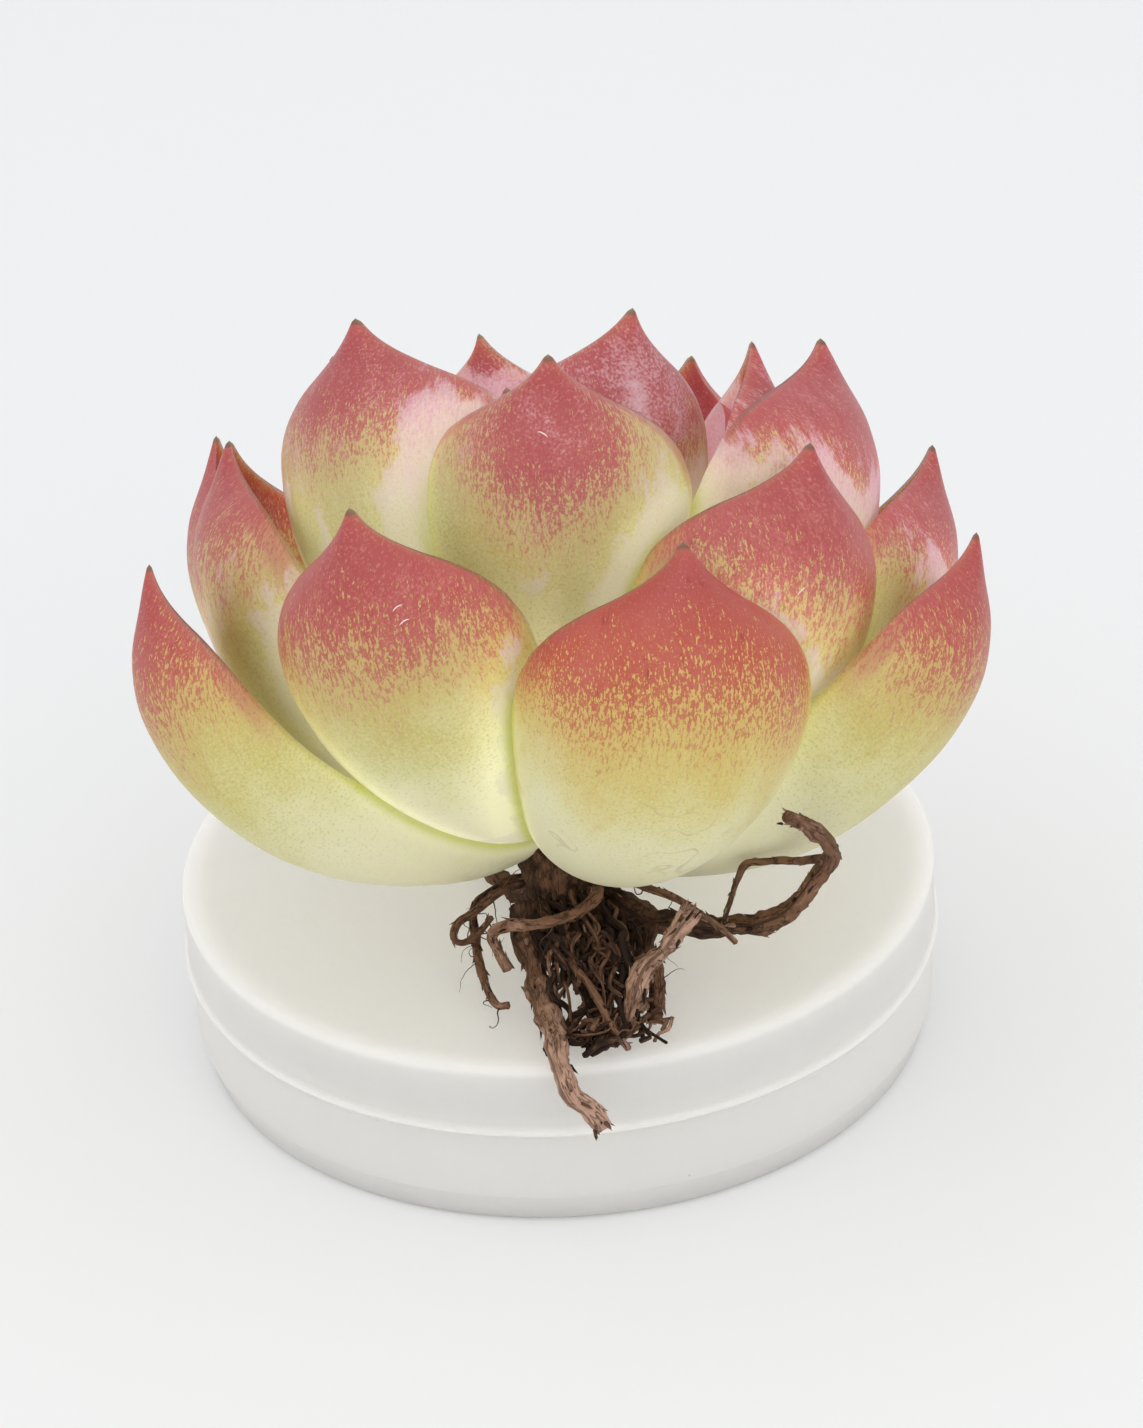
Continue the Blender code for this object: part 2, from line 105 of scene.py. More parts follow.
# Where single leaves depart from the even spiral: turn, length, rise at the stem, rise at
# the tip, half width, height on the stem, roll, sideways sweep (degrees and millimetres)
DEPARTURES = {
    -3: (6, 0, 7, -6, -1.3, 0, 3, -1),
    -2: (-3, 1.7, -10, 5, -2.8, 0.2, -6, 0),
    0: (3.5, -1.8, -18, 11, 0, 0.8, -2, -1.5),
    1: (0, 5, -6, 7, -2.5, 1.6, 6, 0),
    2: (-5.5, 1.2, 0, -4, 0.3, 0, -7, 0.5),
    3: (0.5, -1.8, -11, -6, -1, 0, 6, 1.6),
    5: (1, -1.5, -3.5, 2, 0.2, -2.2, -8, 0),
    6: (-6, 0, -9, 2, 1.4, -1.6, -4, 2),
    7: (2.5, -2, 14, 4, -0.5, 0, 0, 0),
    8: (1, -2.6, 4, -6, -0.5, 1.4, 0, 0),
    9: (7, 2, -5, -5, 0, 0, 0, 0.7),
    10: (5, 0, -12, 4, 3, 0.6, -7, -0.8),
    11: (2, -0.5, -5, 6, 1.8, 0.7, 8, -2.6),
    12: (0, -3, 0, 0, 0, 0, 0, 0),
    13: (-3, -1.2, 17, -6, -0.6, -1.5, 6, 1.4),
    15: (-14, 7, -18, 8, 0.4, -3, -5, 0),
    17: (0, 8, 0, -10, -0.7, -0.5, 3, 1.4),
}

# How each leaf has coloured up: share of its length where the red starts, how much further
# the red runs down its middle (below 0 at the margins), warmth of the red (below 0 for the
# coolest), wax left on it, side the wax is on (below 0 for the other one), scars
HABITS = {
    -3: (0.74, 0.00, 0.55, 0.10, 0.0, 0.5),
    -2: (0.77, 0.02, 0.60, 0.05, 0.0, 0.2),
    0: (0.685, -0.05, 0.95, 0.00, -0.4, 1.0),
    1: (0.76, 0.00, 0.20, 0.35, 0.5, 0.0),
    2: (0.74, 0.00, 0.15, 0.40, -0.3, 0.0),
    3: (0.70, -0.03, 0.42, 0.05, 0.3, 0.1),
    5: (0.72, 0.03, 0.30, 0.10, -0.3, 0.1),
    6: (0.76, 0.02, 0.25, 0.30, 0.8, 0.0),
    8: (0.84, 0.15, 0.15, 0.40, 0.9, 0.0),
    10: (0.72, 0.05, 0.10, 0.40, -0.7, 0.0),
    11: (0.78, 0.03, 0.10, 0.45, 0.9, 0.0),
    13: (0.74, 0.08, 0.05, 0.90, 0.9, 0.0),
    16: (0.70, 0.05, -0.20, 1.00, -0.3, 0.0),
    17: (0.72, 0.05, -0.20, 1.00, 0.3, 0.0),
}
COMMON_HABIT = (0.70, 0.04, 0.15, 0.40, 0.3, 0.0)
SCAR_PLACE = (-1.2, 5.4)                      # brown nick low on the front leaf, across and along

# Roots: radius where it starts and at the tip, how light the bark is at both ends, frayed
# fibres at the tip, then the points it runs through, from the foremost point of the lid's edge.
# Each starts at the crown or at the root that it branches from
ROOTS = {
    "root_long": (1.20, 0.62, 0.05, 1.0, 30, (
        (-2.6, 13.4, 5.6), (-2.5, 11.5, 4.3), (-2.2, 9.0, 3.0), (-1.6, 5.5, 2.2), (-1.1, 2.0, 1.6),
        (-0.6, -1.0, 0.9), (0.1, -2.5, -0.4), (1.1, -3.0, -1.6), (2.2, -3.1, -3.4))),
    "root_cross": (0.45, 0.42, 0.25, 0.55, 4, (
        (2.4, 13.4, 7.0), (3.0, 11.0, 8.3), (1.8, 9.0, 8.2), (-0.2, 8.4, 7.7), (-2.4, 8.6, 7.3),
        (-4.2, 9.2, 6.9), (-5.2, 9.6, 5.9), (-4.9, 9.2, 4.5), (-4.3, 8.6, 3.4))),
    "root_broken": (0.62, 0.80, 0.45, 0.85, 22, (
        (3.2, 2.6, 1.1), (4.2, 2.8, 1.6), (4.9, 3.6, 3.2), (6.0, 4.6, 5.0), (7.6, 5.4, 6.3),
        (8.8, 6.0, 7.7), (9.9, 6.8, 9.2))),
    "root_arch": (0.95, 0.50, 0.0, 0.45, 9, (
        (3.2, 14.6, 6.2), (4.8, 13.5, 5.5), (7.1, 12.4, 4.7), (9.7, 11.6, 4.4), (12.3, 11.0, 4.5),
        (14.9, 10.0, 5.0), (17.2, 8.8, 7.3), (19.2, 7.4, 10.6), (20.2, 5.6, 13.8), (18.9, 3.8, 16.9),
        (16.9, 2.6, 19.2))),
    "root_wiry": (0.30, 0.20, 0.2, 0.3, 0, (
        (19.6, 6.8, 12.7), (18.2, 7.8, 12.0), (16.9, 8.7, 11.4), (15.7, 9.1, 11.2), (14.0, 9.4, 11.0),
        (13.3, 9.7, 9.1), (12.8, 10.0, 7.2), (12.2, 10.6, 5.2))),
    "root_left_loop": (0.34, 0.24, 0.0, 0.3, 0, (
        (-2.2, 15.2, 7.0), (-4.6, 14.4, 6.6), (-6.3, 13.6, 5.8), (-7.8, 12.8, 5.1), (-8.2, 12.0, 4.2),
        (-7.5, 11.7, 3.9), (-6.2, 12.2, 4.6), (-5.3, 12.6, 5.6))),
    "root_left_drop": (0.40, 0.28, 0.1, 0.5, 0, (
        (-2.4, 16.8, 6.2), (-4.8, 16.4, 5.8), (-6.6, 15.2, 4.5), (-6.6, 13.0, 3.0), (-6.1, 10.0, 1.9),
        (-5.3, 7.6, 1.1), (-4.4, 6.9, 1.3))),
    "root_stub": (0.55, 0.60, 0.0, 0.3, 12, (
        (6.8, 11.8, 4.4), (6.5, 10.4, 3.9), (7.1, 8.4, 2.8), (7.0, 6.4, 1.5), (6.6, 4.8, 1.0))),
    "root_side": (0.34, 0.22, 0.1, 0.5, 6, (
        (3.2, 14.0, 8.0), (5.4, 11.6, 8.6), (8.0, 9.2, 8.9), (10.2, 9.0, 7.2), (11.6, 8.6, 6.3),
        (13.0, 7.8, 5.0))),
    "root_mid": (1.45, 0.55, -0.1, 0.2, 8, (
        (1.0, 13.6, 4.7), (1.6, 10.8, 3.3), (2.0, 7.2, 2.2), (2.6, 3.6, 1.1), (2.5, 1.4, 0.9))),
    "root_right_mid": (1.10, 0.60, -0.1, 0.1, 5, (
        (3.2, 16.2, 5.6), (4.2, 15.4, 4.2), (5.0, 14.0, 2.7), (5.4, 11.4, 1.8), (4.6, 8.6, 1.3))),
    "root_front_loop": (0.30, 0.24, 0.2, 0.5, 0, (
        (1.3, 9.4, 4.4), (0.6, 7.6, 5.1), (0.8, 6.0, 4.9), (1.8, 4.4, 4.1), (2.8, 3.0, 3.0),
        (3.6, 1.6, 1.8), (4.4, 0.8, 0.8))),
    "root_back": (1.00, 0.45, 0.0, 0.3, 6, (
        (-0.9, 18.2, 4.8), (-1.8, 19.9, 3.6), (-2.6, 21.0, 2.4), (-3.6, 22.8, 1.4), (-5.0, 25.6, 0.9),
        (-6.4, 28.4, 0.8))),
}

SCUFF_REACH, SCUFF_RADIUS = 0.45, 0.055       # half a scuff's length, and its half thickness
# Small raised scuffs on the leaves, coloured near-white as painted highlights: spiral number, share of its
# length, share across, tilt
SCUFFS = ((3, 0.82, 0.52, 0.3), (3, 0.80, 0.54, 0.25), (8, 0.86, -0.10, -0.5), (6, 0.80, 0.55, 0.5),
          (5, 0.74, -0.30, 0.9), (10, 0.80, 0.30, -0.3))


def tint(red, green, blue):
    """A display colour of 0 to 255 as the linear colour that materials use."""
    parts = [value / 255 for value in (red, green, blue)]
    return tuple(p / 12.92 if p <= 0.04045 else ((p + 0.055) / 1.055) ** 2.4 for p in parts)


def colour_property(label, about, red, green, blue):
    return FloatVectorProperty(name=label, description=about, default=tint(red, green, blue),
                               subtype="COLOR", size=3, min=0.0, max=1.0)


def length_property(label, about, millimetres):
    return FloatProperty(name=label, description=about, default=millimetres * MM,
                         subtype="DISTANCE", unit="LENGTH", precision=5, min=0.0)


def angle_property(label, about, degrees):
    return FloatProperty(name=label, description=about, default=math.radians(degrees),
                         subtype="ANGLE", unit="ROTATION")


class RosetteShape(bpy.types.PropertyGroup):
    lean_back: angle_property("Lean back", "How far the stem leans away from the front", 28.0)
    lean_side: angle_property("Lean right", "How far the stem leans to the right", 2.0)
    spiral_turn: angle_property("Spiral turn", "Turn from one leaf to the next younger one", 137.508)
    spiral_start: angle_property("Spiral start", "Where leaf number 0 points, right of the front", 17.7)
    leaf_length: length_property("Leaf length", "Length of the oldest leaf", 39.0)
    leaf_width: length_property("Leaf width", "Width of the oldest leaf", 22.6)
    bud_length: length_property("Bud leaf length", "Length of the first bud leaf", 30.0)
    bud_width: length_property("Bud leaf width", "Width of the first bud leaf", 19.0)
    back_bulge: FloatProperty(name="Back bulge", default=0.60, min=0.1, max=1.2,
                              description="Depth of the rounded back as a share of the half width")
    inner_hollow: FloatProperty(name="Inner hollow", default=0.10, min=0.0, max=0.5,
                                description="How far the inner face is dished, as the same share")
    margin_lift: FloatProperty(name="Margin lift", default=0.35, min=0.0, max=0.8,
                               description="How far the margins curl inwards, as the same share")


class LeafSkin(bpy.types.PropertyGroup):
    pale: colour_property("Base", "Pale green-cream near the stem", 226, 222, 184)
    lime: colour_property("Lime", "Green of the middle of a cool leaf", 190, 190, 116)
    yellow: colour_property("Yellow", "Yellow of the middle of a warm leaf", 210, 197, 112)
    pink: colour_property("Pink red", "Red of a cool leaf's upper part", 172, 76, 82)
    coral: colour_property("Coral red", "Red of a warm leaf's upper part", 184, 80, 58)
    point_red: colour_property("Point red", "Deepest red under the point", 162, 64, 68)
    wax: colour_property("Wax", "Lilac-white wax on young leaves", 206, 172, 182)
    # Painted light: lime green that stands in for light passing between close leaves
    crevice_light: colour_property("Crevice", "Lit green where leaves press together", 168, 172, 48)
    dry: colour_property("Dry point", "Withered brown of the very tip", 92, 74, 66)
    scar: colour_property("Scar", "Brown of scratches and nicks", 150, 104, 50)


class RootBark(bpy.types.PropertyGroup):
    dark: colour_property("Dark bark", "Shaded, soil-stained bark", 46, 30, 20)
    middle: colour_property("Brown bark", "Ordinary dry bark", 128, 92, 68)
    light: colour_property("Bare wood", "Pinkish tan where the bark rubbed off", 204, 164, 142)
    tangle_count: IntProperty(name="Tangle roots", default=120, min=0, max=200,
                              description="Thin roots in the knot under the crown")
    hair_count: IntProperty(name="Root hairs", default=70, min=0, max=400,
                            description="Hair-fine fibres that stand off the roots")


class FrostedBox(bpy.types.PropertyGroup):
    plastic: colour_property("Plastic", "Milky colour of the frosted plastic", 236, 234, 230)
    # Painted glow: emission that stands in for light the plastic passes on, on the lid's top, the lip band at
    # the skirt's edge and the walls
    lid_painted_glow: FloatProperty(name="Lid glow", default=0.205, min=0.0, max=1.0,
                            description="Light that the milky lid passes on from all round")
    wall_painted_glow: FloatProperty(name="Wall glow", default=0.090, min=0.0, max=1.0,
                             description="The same for the upright walls")
    edge_round: length_property("Edge rounding", "Radius of the lid's top edge", 0.5)
    lip: length_property("Skirt lip", "How far the lip at the skirt's edge stands out", 0.22)


class StageSetup(bpy.types.PropertyGroup):
    lens: FloatProperty(name="Lens", default=111.03, min=10.0, max=400.0, unit="CAMERA",
                        description="Focal length in millimetres")
    distance: length_property("Camera distance", "From the box's foot to the camera", 360.0)
    elevation: angle_property("Camera height", "Angle above the floor", 34.06)
    tilt: angle_property("Camera tilt", "How far the camera looks above the foot", 3.75)
    pan: angle_property("Camera pan", "How far it looks to the right of the foot", 0.30)
    roll: angle_property("Camera roll", "How far it turns about its own line of sight", -3.55)
    floor: colour_property("Floor", "Pale seamless paper", 238, 239, 240)
    sky: FloatProperty(name="Sky", default=0.94, min=0.0, description="Even light from all round")
    key: FloatProperty(name="Soft key", default=0.7, min=0.0, unit="POWER",
                       description="Large soft light above")
    fill: FloatProperty(name="Fill", default=0.42, min=0.0, unit="POWER",
                        description="Soft light from the front")


# Materials

class Value:
    """A socket in a material. Sums on it add Math nodes, so 1 - mask works."""

    def __init__(self, paint, socket):
        self.paint = paint
        self.socket = socket

    def math(self, operation, *values):
        return self.paint.node("ShaderNodeMath", {"operation": operation}, dict(enumerate(values)))

    def __add__(self, other):
        return self.math("ADD", self, other)

    def __radd__(self, other):
        return self.math("ADD", other, self)

    def __sub__(self, other):
        return self.math("SUBTRACT", self, other)

    def __rsub__(self, other):
        return self.math("SUBTRACT", other, self)

    def __mul__(self, other):
        return self.math("MULTIPLY", self, other)

    def __rmul__(self, other):
        return self.math("MULTIPLY", other, self)

    def __abs__(self):
        return self.math("ABSOLUTE", self)

    def rise(self, low, high):
        """0 below low, 1 above high, and a soft step between; high may be the lower one."""
        return self.paint.node("ShaderNodeMapRange", {"interpolation_type": "SMOOTHSTEP"},
                               {"Value": self, "From Min": low, "From Max": high})


class Paint:
    """A material being mixed, around its one Principled shader."""

    def __init__(self, name):
        self.material = bpy.data.materials.new(name)
        self.material.use_nodes = True
        self.tree = self.material.node_tree
        self.shader = self.tree.nodes["Principled BSDF"]

    def node(self, kind, settings=None, sockets=None, out=0):
        """Adds one node: its settings first, then the values or links of its sockets."""
        made = self.tree.nodes.new(kind)
        for setting, value in (settings or {}).items():
            setattr(made, setting, value)
        for socket, value in (sockets or {}).items():
            self.feed(made.inputs[socket], value)
        return Value(self, made.outputs[out])

    def feed(self, socket, value):
        if isinstance(value, Value):
            self.tree.links.new(value.socket, socket)
        elif socket.type == "RGBA":
            socket.default_value = (*value[:3], 1.0)
        else:
            socket.default_value = value

    def attribute(self, name, out="Vector"):
        return self.node("ShaderNodeAttribute", {"attribute_name": name}, out=out)

    def split(self, vector):
        parts = self.node("ShaderNodeSeparateXYZ", None, {0: vector})
        return [Value(self, socket) for socket in parts.socket.node.outputs]

    def grain(self, vector, stretch, detail=2.0, rough=0.6):
        """Noise along a vector of millimetres, centred on 0 and reaching about 0.5 either way."""
        scaled = self.node("ShaderNodeVectorMath", {"operation": "MULTIPLY"}, {0: vector, 1: stretch})
        cloud = self.node("ShaderNodeTexNoise", None,
                          {"Vector": scaled, "Scale": 1.0, "Detail": detail, "Roughness": rough})
        return (cloud - 0.5) * 1.8

    def mix(self, share, first, second):
        settings = {"data_type": "RGBA", "clamp_factor": True}
        return self.node("ShaderNodeMix", settings, {0: share, 6: first, 7: second}, out=2)

    def finish(self, sockets):
        for name, value in sockets.items():
            self.feed(self.shader.inputs[name], value)
        return self.material

    def bump(self, height, distance, strength):
        return self.node("ShaderNodeBump", None,
                         {"Height": height, "Distance": distance, "Strength": strength})


def leaf_material(skin):
    """Pale green below, red above a ragged line of fine dashes, wax where leaves were covered, painted light
    in the crevices and a painted glow where leaves stand close together.
    """
    paint = Paint("leaf_skin")
    across, along, inner = paint.split(paint.attribute("spot"))
    line, warmth, wax = paint.split(paint.attribute("habit"))
    reach, side, scars = paint.split(paint.attribute("reach"))
    crowd = paint.attribute("crowd", out="Fac")
    cover = paint.attribute("cover", out="Fac")
    place = paint.attribute("place")

    dashes = paint.grain(place, (5.2, 1.7, 1.0), 2.0)
    drips = paint.grain(place, (1.7, 0.16, 1.0), 2.0)
    cells = paint.grain(place, (5.0, 5.0, 1.0), 1.0)
    clouds = paint.grain(place, (0.20, 0.13, 1.0), 3.0)
    smears = paint.grain(place, (0.55, 0.36, 1.0), 5.0, 0.65)

    # The red edge runs lower in the middle or at the margins, leaf by leaf, and frays into dashes
    middle = 1.0 - across * across
    drive = along - line + reach * middle * middle + clouds * 0.09 + drips * 0.05
    fray = (dashes * 0.24 + cells * 0.15) * (1.0 + warmth * 0.7)
    red = (drive + fray + paint.grain(place, (9.0, 4.0, 1.0), 1.0) * 0.16).rise(-0.05, 0.06)
    strength = 0.42 + drive.rise(-0.13, 0.10) * 0.58
    blush = drive.rise(-0.22, 0.10)

    green = paint.mix(warmth, tuple(skin.lime), tuple(skin.yellow))
    green = paint.mix(0.45 - warmth, green, tint(214, 214, 160))
    green = paint.mix((along + clouds * 0.2).rise(0.68, 0.36), green, tuple(skin.pale))
    lit = (cells + dashes * 0.25 + 0.05).rise(0.02, 0.40) * along.rise(0.2, 0.5)
    green = paint.mix(lit * 0.45, green, tint(222, 217, 160))
    green = paint.mix((0.0 - cells).rise(0.02, 0.45) * along.rise(0.2, 0.5) * 0.35, green, tint(158, 158, 70))
    rusty = paint.mix(warmth, tint(190, 150, 108), tint(208, 150, 80))
    green = paint.mix(blush * (0.80 - warmth * 0.3), green, rusty)

    ripe = paint.mix(warmth, tuple(skin.pink), tuple(skin.coral))
    ripe = paint.mix((clouds + dashes * 0.4).rise(-0.1, 0.5) * 0.35, ripe, tint(196, 116, 104))
    ripe = paint.mix(along.rise(0.80, 0.97) * 0.7, ripe, tuple(skin.point_red))
    ripe = paint.mix((1.0 - warmth) * (cells + smears).rise(-0.2, 0.6) * 0.24, ripe, tint(226, 158, 150))
    specks = paint.grain(place, (0.95, 0.46, 1.0), 3.0).rise(0.22, 0.44)
    ripe = paint.mix(specks * (0.26 + warmth * 0.6), ripe, tint(148, 46, 44))
    ripe = paint.mix(cells.rise(0.08, 0.5) * 0.26, ripe, tint(218, 156, 140))
    ripe = paint.mix((0.0 - cells).rise(0.08, 0.5) * 0.22, ripe, tint(146, 58, 62))
    colour = paint.mix(red * strength, green, ripe)

    # Thin red margin, wax, painted light in the crevices, scratches, dry point
    margin = abs(across).rise(0.96, 0.995) * along.rise(0.58, 0.75)
    colour = paint.mix(margin * 0.55, colour, tuple(skin.pink))
    shed = smears * 0.55 + clouds * 0.35
    bloom = wax * wax * along.rise(0.80, 0.50) * 0.34
    waxed = (cover * (0.5 + wax) + bloom + shed + side * across * 0.18 - 0.42).rise(-0.07, 0.10)
    haze = (cover * 0.6 + wax * 0.5 + shed * 1.2 + cells * 0.6 - 0.42).rise(-0.05, 0.5)
    waxed = waxed * (0.85 + cells * 0.4) * along.rise(0.99, 0.90)
    wax_tone = paint.mix(blush, tint(206, 202, 178), tuple(skin.wax))
    colour = paint.mix(waxed * 0.72, colour, wax_tone)
    colour = paint.mix(haze * 0.5 * along.rise(0.99, 0.9), colour, wax_tone)
    # Painted light: lime green where leaves press together stands in for light passed between them
    painted_crevice_light = crowd.rise(0.30, 0.85) * along.rise(0.80, 0.45)
    colour = paint.mix(painted_crevice_light * 0.70, colour, tuple(skin.crevice_light))
    lines = abs(paint.grain(place, (0.16, 0.24, 1.0), 2.0)).rise(0.028, 0.004)
    lines = lines * paint.grain(place, (0.09, 0.09, 1.0), 1.0).rise(-0.05, 0.2) * along.rise(0.66, 0.5)
    colour = paint.mix(lines * scars * 0.30, colour, tuple(skin.scar))
    blotch = (clouds + smears).rise(0.12, 0.5) * along.rise(0.66, 0.5)
    colour = paint.mix(blotch * scars * 0.45, colour, tint(214, 184, 116))
    nick = paint.node("ShaderNodeVectorMath", {"operation": "SUBTRACT"}, {0: place, 1: (*SCAR_PLACE, 0.0)})
    nick_across, nick_along, _ = paint.split(nick)
    spot = nick_across * nick_across * 0.9 + nick_along * nick_along * 6.0 + cells * 0.9
    nicked = spot.rise(1.0, 0.5) * scars.rise(0.85, 0.95) * (1.0 - inner)
    colour = paint.mix(nicked, colour, tint(134, 86, 44))
    tip = (along + cells * 0.005).rise(0.989, 0.996)
    colour = paint.mix(tip * 0.85, colour, tuple(skin.dry))

    # Painted glow: emission in the leaves' own colour stands in for light that passes through them where they
    # stand close together
    painted_glow = paint.mix((cover * 0.9 + crowd * 0.5).rise(0.02, 0.60) + waxed * 0.08, tint(0, 0, 0), colour)
    height = cells * 0.5 + dashes * 0.35 + waxed * 0.3
    return paint.finish({
        "Base Color": colour, "Roughness": 0.42 + cells * 0.10 + waxed * 0.22 + tip * 0.3,
        "Normal": paint.bump(height, 0.00006, 0.55), "Specular IOR Level": 0.5,
        "Subsurface Weight": 0.35, "Subsurface Radius": (1.0, 0.75, 0.35), "Subsurface Scale": 0.0035,
        "Emission Color": painted_glow, "Emission Strength": 0.36})


def bark_material(bark):
    """Dry fibrous bark, dark where it is shaded and stained, pinkish tan where it is bare."""
    paint = Paint("root_bark")
    place = paint.attribute("place")
    light = paint.attribute("light", out="Fac")
    fibres = paint.grain(place, (3.4, 0.8, 1.0), 4.0, 0.65)
    flakes = paint.grain(place, (1.1, 0.75, 1.0), 4.0, 0.6)
    stains = paint.grain(place, (0.5, 0.28, 1.0), 3.0)
    tone = light + flakes * 0.55 + fibres * 0.25 + stains * 0.3
    colour = paint.mix(tone.rise(-0.10, 0.42), tuple(bark.dark), tuple(bark.middle))
    colour = paint.mix(tone.rise(0.38, 0.95), colour, tuple(bark.light))
    cracks = abs(paint.grain(place, (1.6, 0.35, 1.0), 3.0)).rise(0.05, 0.0)
    colour = paint.mix(cracks * 0.7, colour, tuple(bark.dark))
    height = fibres + flakes * 1.2 - cracks * 0.6
    return paint.finish({"Base Color": colour, "Roughness": 0.82 + fibres * 0.12,
                         "Normal": paint.bump(height, 0.00022, 0.9), "Specular IOR Level": 0.25})


def frosted_material(box):
    """Milky plastic with a fine blasted texture, a little handled, that passes some light on; a painted glow
    stands in for the rest, strongest on the lid's top, with a bright painted band at the skirt's lip and less
    on the walls.
    """
    paint = Paint("frosted_plastic")
    place = paint.attribute("place")
    height = paint.split(place)[2]
    # Painted light: the lid's top glows with the lid value, a band at the skirt's lip gets half the lid value
    # more as a painted highlight, and the walls glow with the wall value
    top = height.rise(LID_TOP - 1.0, LID_TOP - 0.3)
    lip = abs(height - SKIRT_EDGE - 0.35).rise(0.7, 0.1)
    painted_glow = (top + lip * 0.5) * box.lid_painted_glow + (1.0 - top) * box.wall_painted_glow
    blasted = paint.grain(place, (5.0, 5.0, 5.0), 2.0)
    handled = paint.grain(place, (0.09, 0.09, 0.09), 4.0)
    dust = paint.grain(place, (1.1, 1.1, 1.1), 1.0).rise(0.56, 0.62)
    colour = paint.mix((handled + 0.2).rise(0.0, 0.5) * 0.12, tuple(box.plastic), tint(222, 216, 206))
    colour = paint.mix(dust * 0.5, colour, tint(150, 146, 140))
    return paint.finish({
        "Base Color": colour, "Roughness": 0.50 + blasted * 0.08 + handled * 0.08,
        "Normal": paint.bump(blasted + handled * 2.0, 0.00004, 0.3), "Specular IOR Level": 0.3,
        "Transmission Weight": 0.25, "IOR": 1.45, "Subsurface Weight": 1.0,
        "Subsurface Radius": (1.0, 0.97, 0.93), "Subsurface Scale": 0.012,
        "Emission Color": paint.mix(painted_glow, tint(0, 0, 0), tuple(box.plastic)), "Emission Strength": 1.0})


def paper_material(stage):
    paint = Paint("stage_paper")
    place = paint.node("ShaderNodeTexCoord", out="Object")
    fibre = paint.grain(place, (900.0, 900.0, 900.0), 2.0)
    colour = paint.mix(fibre.rise(-0.5, 0.5) * 0.02, tuple(stage.floor), tint(225, 225, 224))
    return paint.finish({"Base Color": colour, "Roughness": 0.75, "Specular IOR Level": 0.1})


# Shapes

def smooth_law(law, where):
    """A monotone smooth curve through the law's points, read at the places asked for."""
    x, y = np.array(law, float).T
    step, rise = np.diff(x), np.diff(y) / np.diff(x)
    inner = np.where(rise[:-1] * rise[1:] > 0, 2 * rise[:-1] * rise[1:] / (rise[:-1] + rise[1:] + 1e-12), 0.0)
    slope = np.concatenate([[rise[0]], inner, [rise[-1]]])
    cell = np.clip(np.searchsorted(x, where, side="right") - 1, 0, len(x) - 2)
    share, width = (where - x[cell]) / step[cell], step[cell]
    return (y[cell] * (1 + 2 * share) * (1 - share) ** 2 + slope[cell] * width * share * (1 - share) ** 2
            + y[cell + 1] * share ** 2 * (3 - 2 * share) + slope[cell + 1] * width * share ** 2 * (share - 1))


def plant_axes(shape):
    """Unit vectors of the leaning plant: towards its front, its right side, and up its stem."""
    back, side = shape.lean_back, shape.lean_side
    up = Vector((math.sin(side), math.cos(side) * math.sin(back), math.cos(side) * math.cos(back)))
    front = Vector((0.0, -math.cos(back), math.sin(back)))
    front = (front - up * front.dot(up)).normalized()
    return np.array([front, front.cross(up) * -1.0, up])


def to_plant(points, shape):
    """Points in the plant's millimetres, returned in metres where they are in the part."""
    return (np.array(CROWN) + np.asarray(points, float) @ plant_axes(shape)) * MM


def run_up(rates, step):
    """Adds up rates along evenly spaced steps, starting from 0."""
    return np.concatenate([[0], np.cumsum((rates[1:] + rates[:-1]) / 2 * step)])


def row_places():
    """Where a leaf's rows lie, as shares of its length."""
    return 1.0 - (1.0 - np.linspace(0.0, 1.0, LEAF_ROWS)) ** ROW_CROWDING


def leaf_plan(number, shape):
    """Every measure of one leaf, from the growth laws and its own departure from them."""
    age = number - FIRST_LEAF
    turn, longer, rise, curl, wider, higher, roll, sweep = DEPARTURES.get(number, (0,) * 8)
    if number < BUD_FROM:
        steps, first_length, first_width = age, shape.leaf_length, shape.leaf_width
        shrink, first_rise = OUTER_SHRINK, OUTER_RISE
    else:
        steps, first_length, first_width = number - BUD_FROM, shape.bud_length, shape.bud_width
        shrink, first_rise = BUD_SHRINK, BUD_RISE
    length = first_length / MM - shrink[0] * steps
    half_width = first_width / MM / 2 - shrink[1] * steps
    start = first_rise[0] + first_rise[1] * steps
    return {
        "turn": shape.spiral_start - shape.spiral_turn * number + math.radians(turn),
        "length": length + longer, "half_width": half_width + wider,
        "start": math.radians(start + rise), "end": math.radians(TIP_RISE + curl),
        "height": LEAF_START_HEIGHT + HEIGHT_STEP * age + higher, "roll": math.radians(roll), "sweep": sweep,
    }


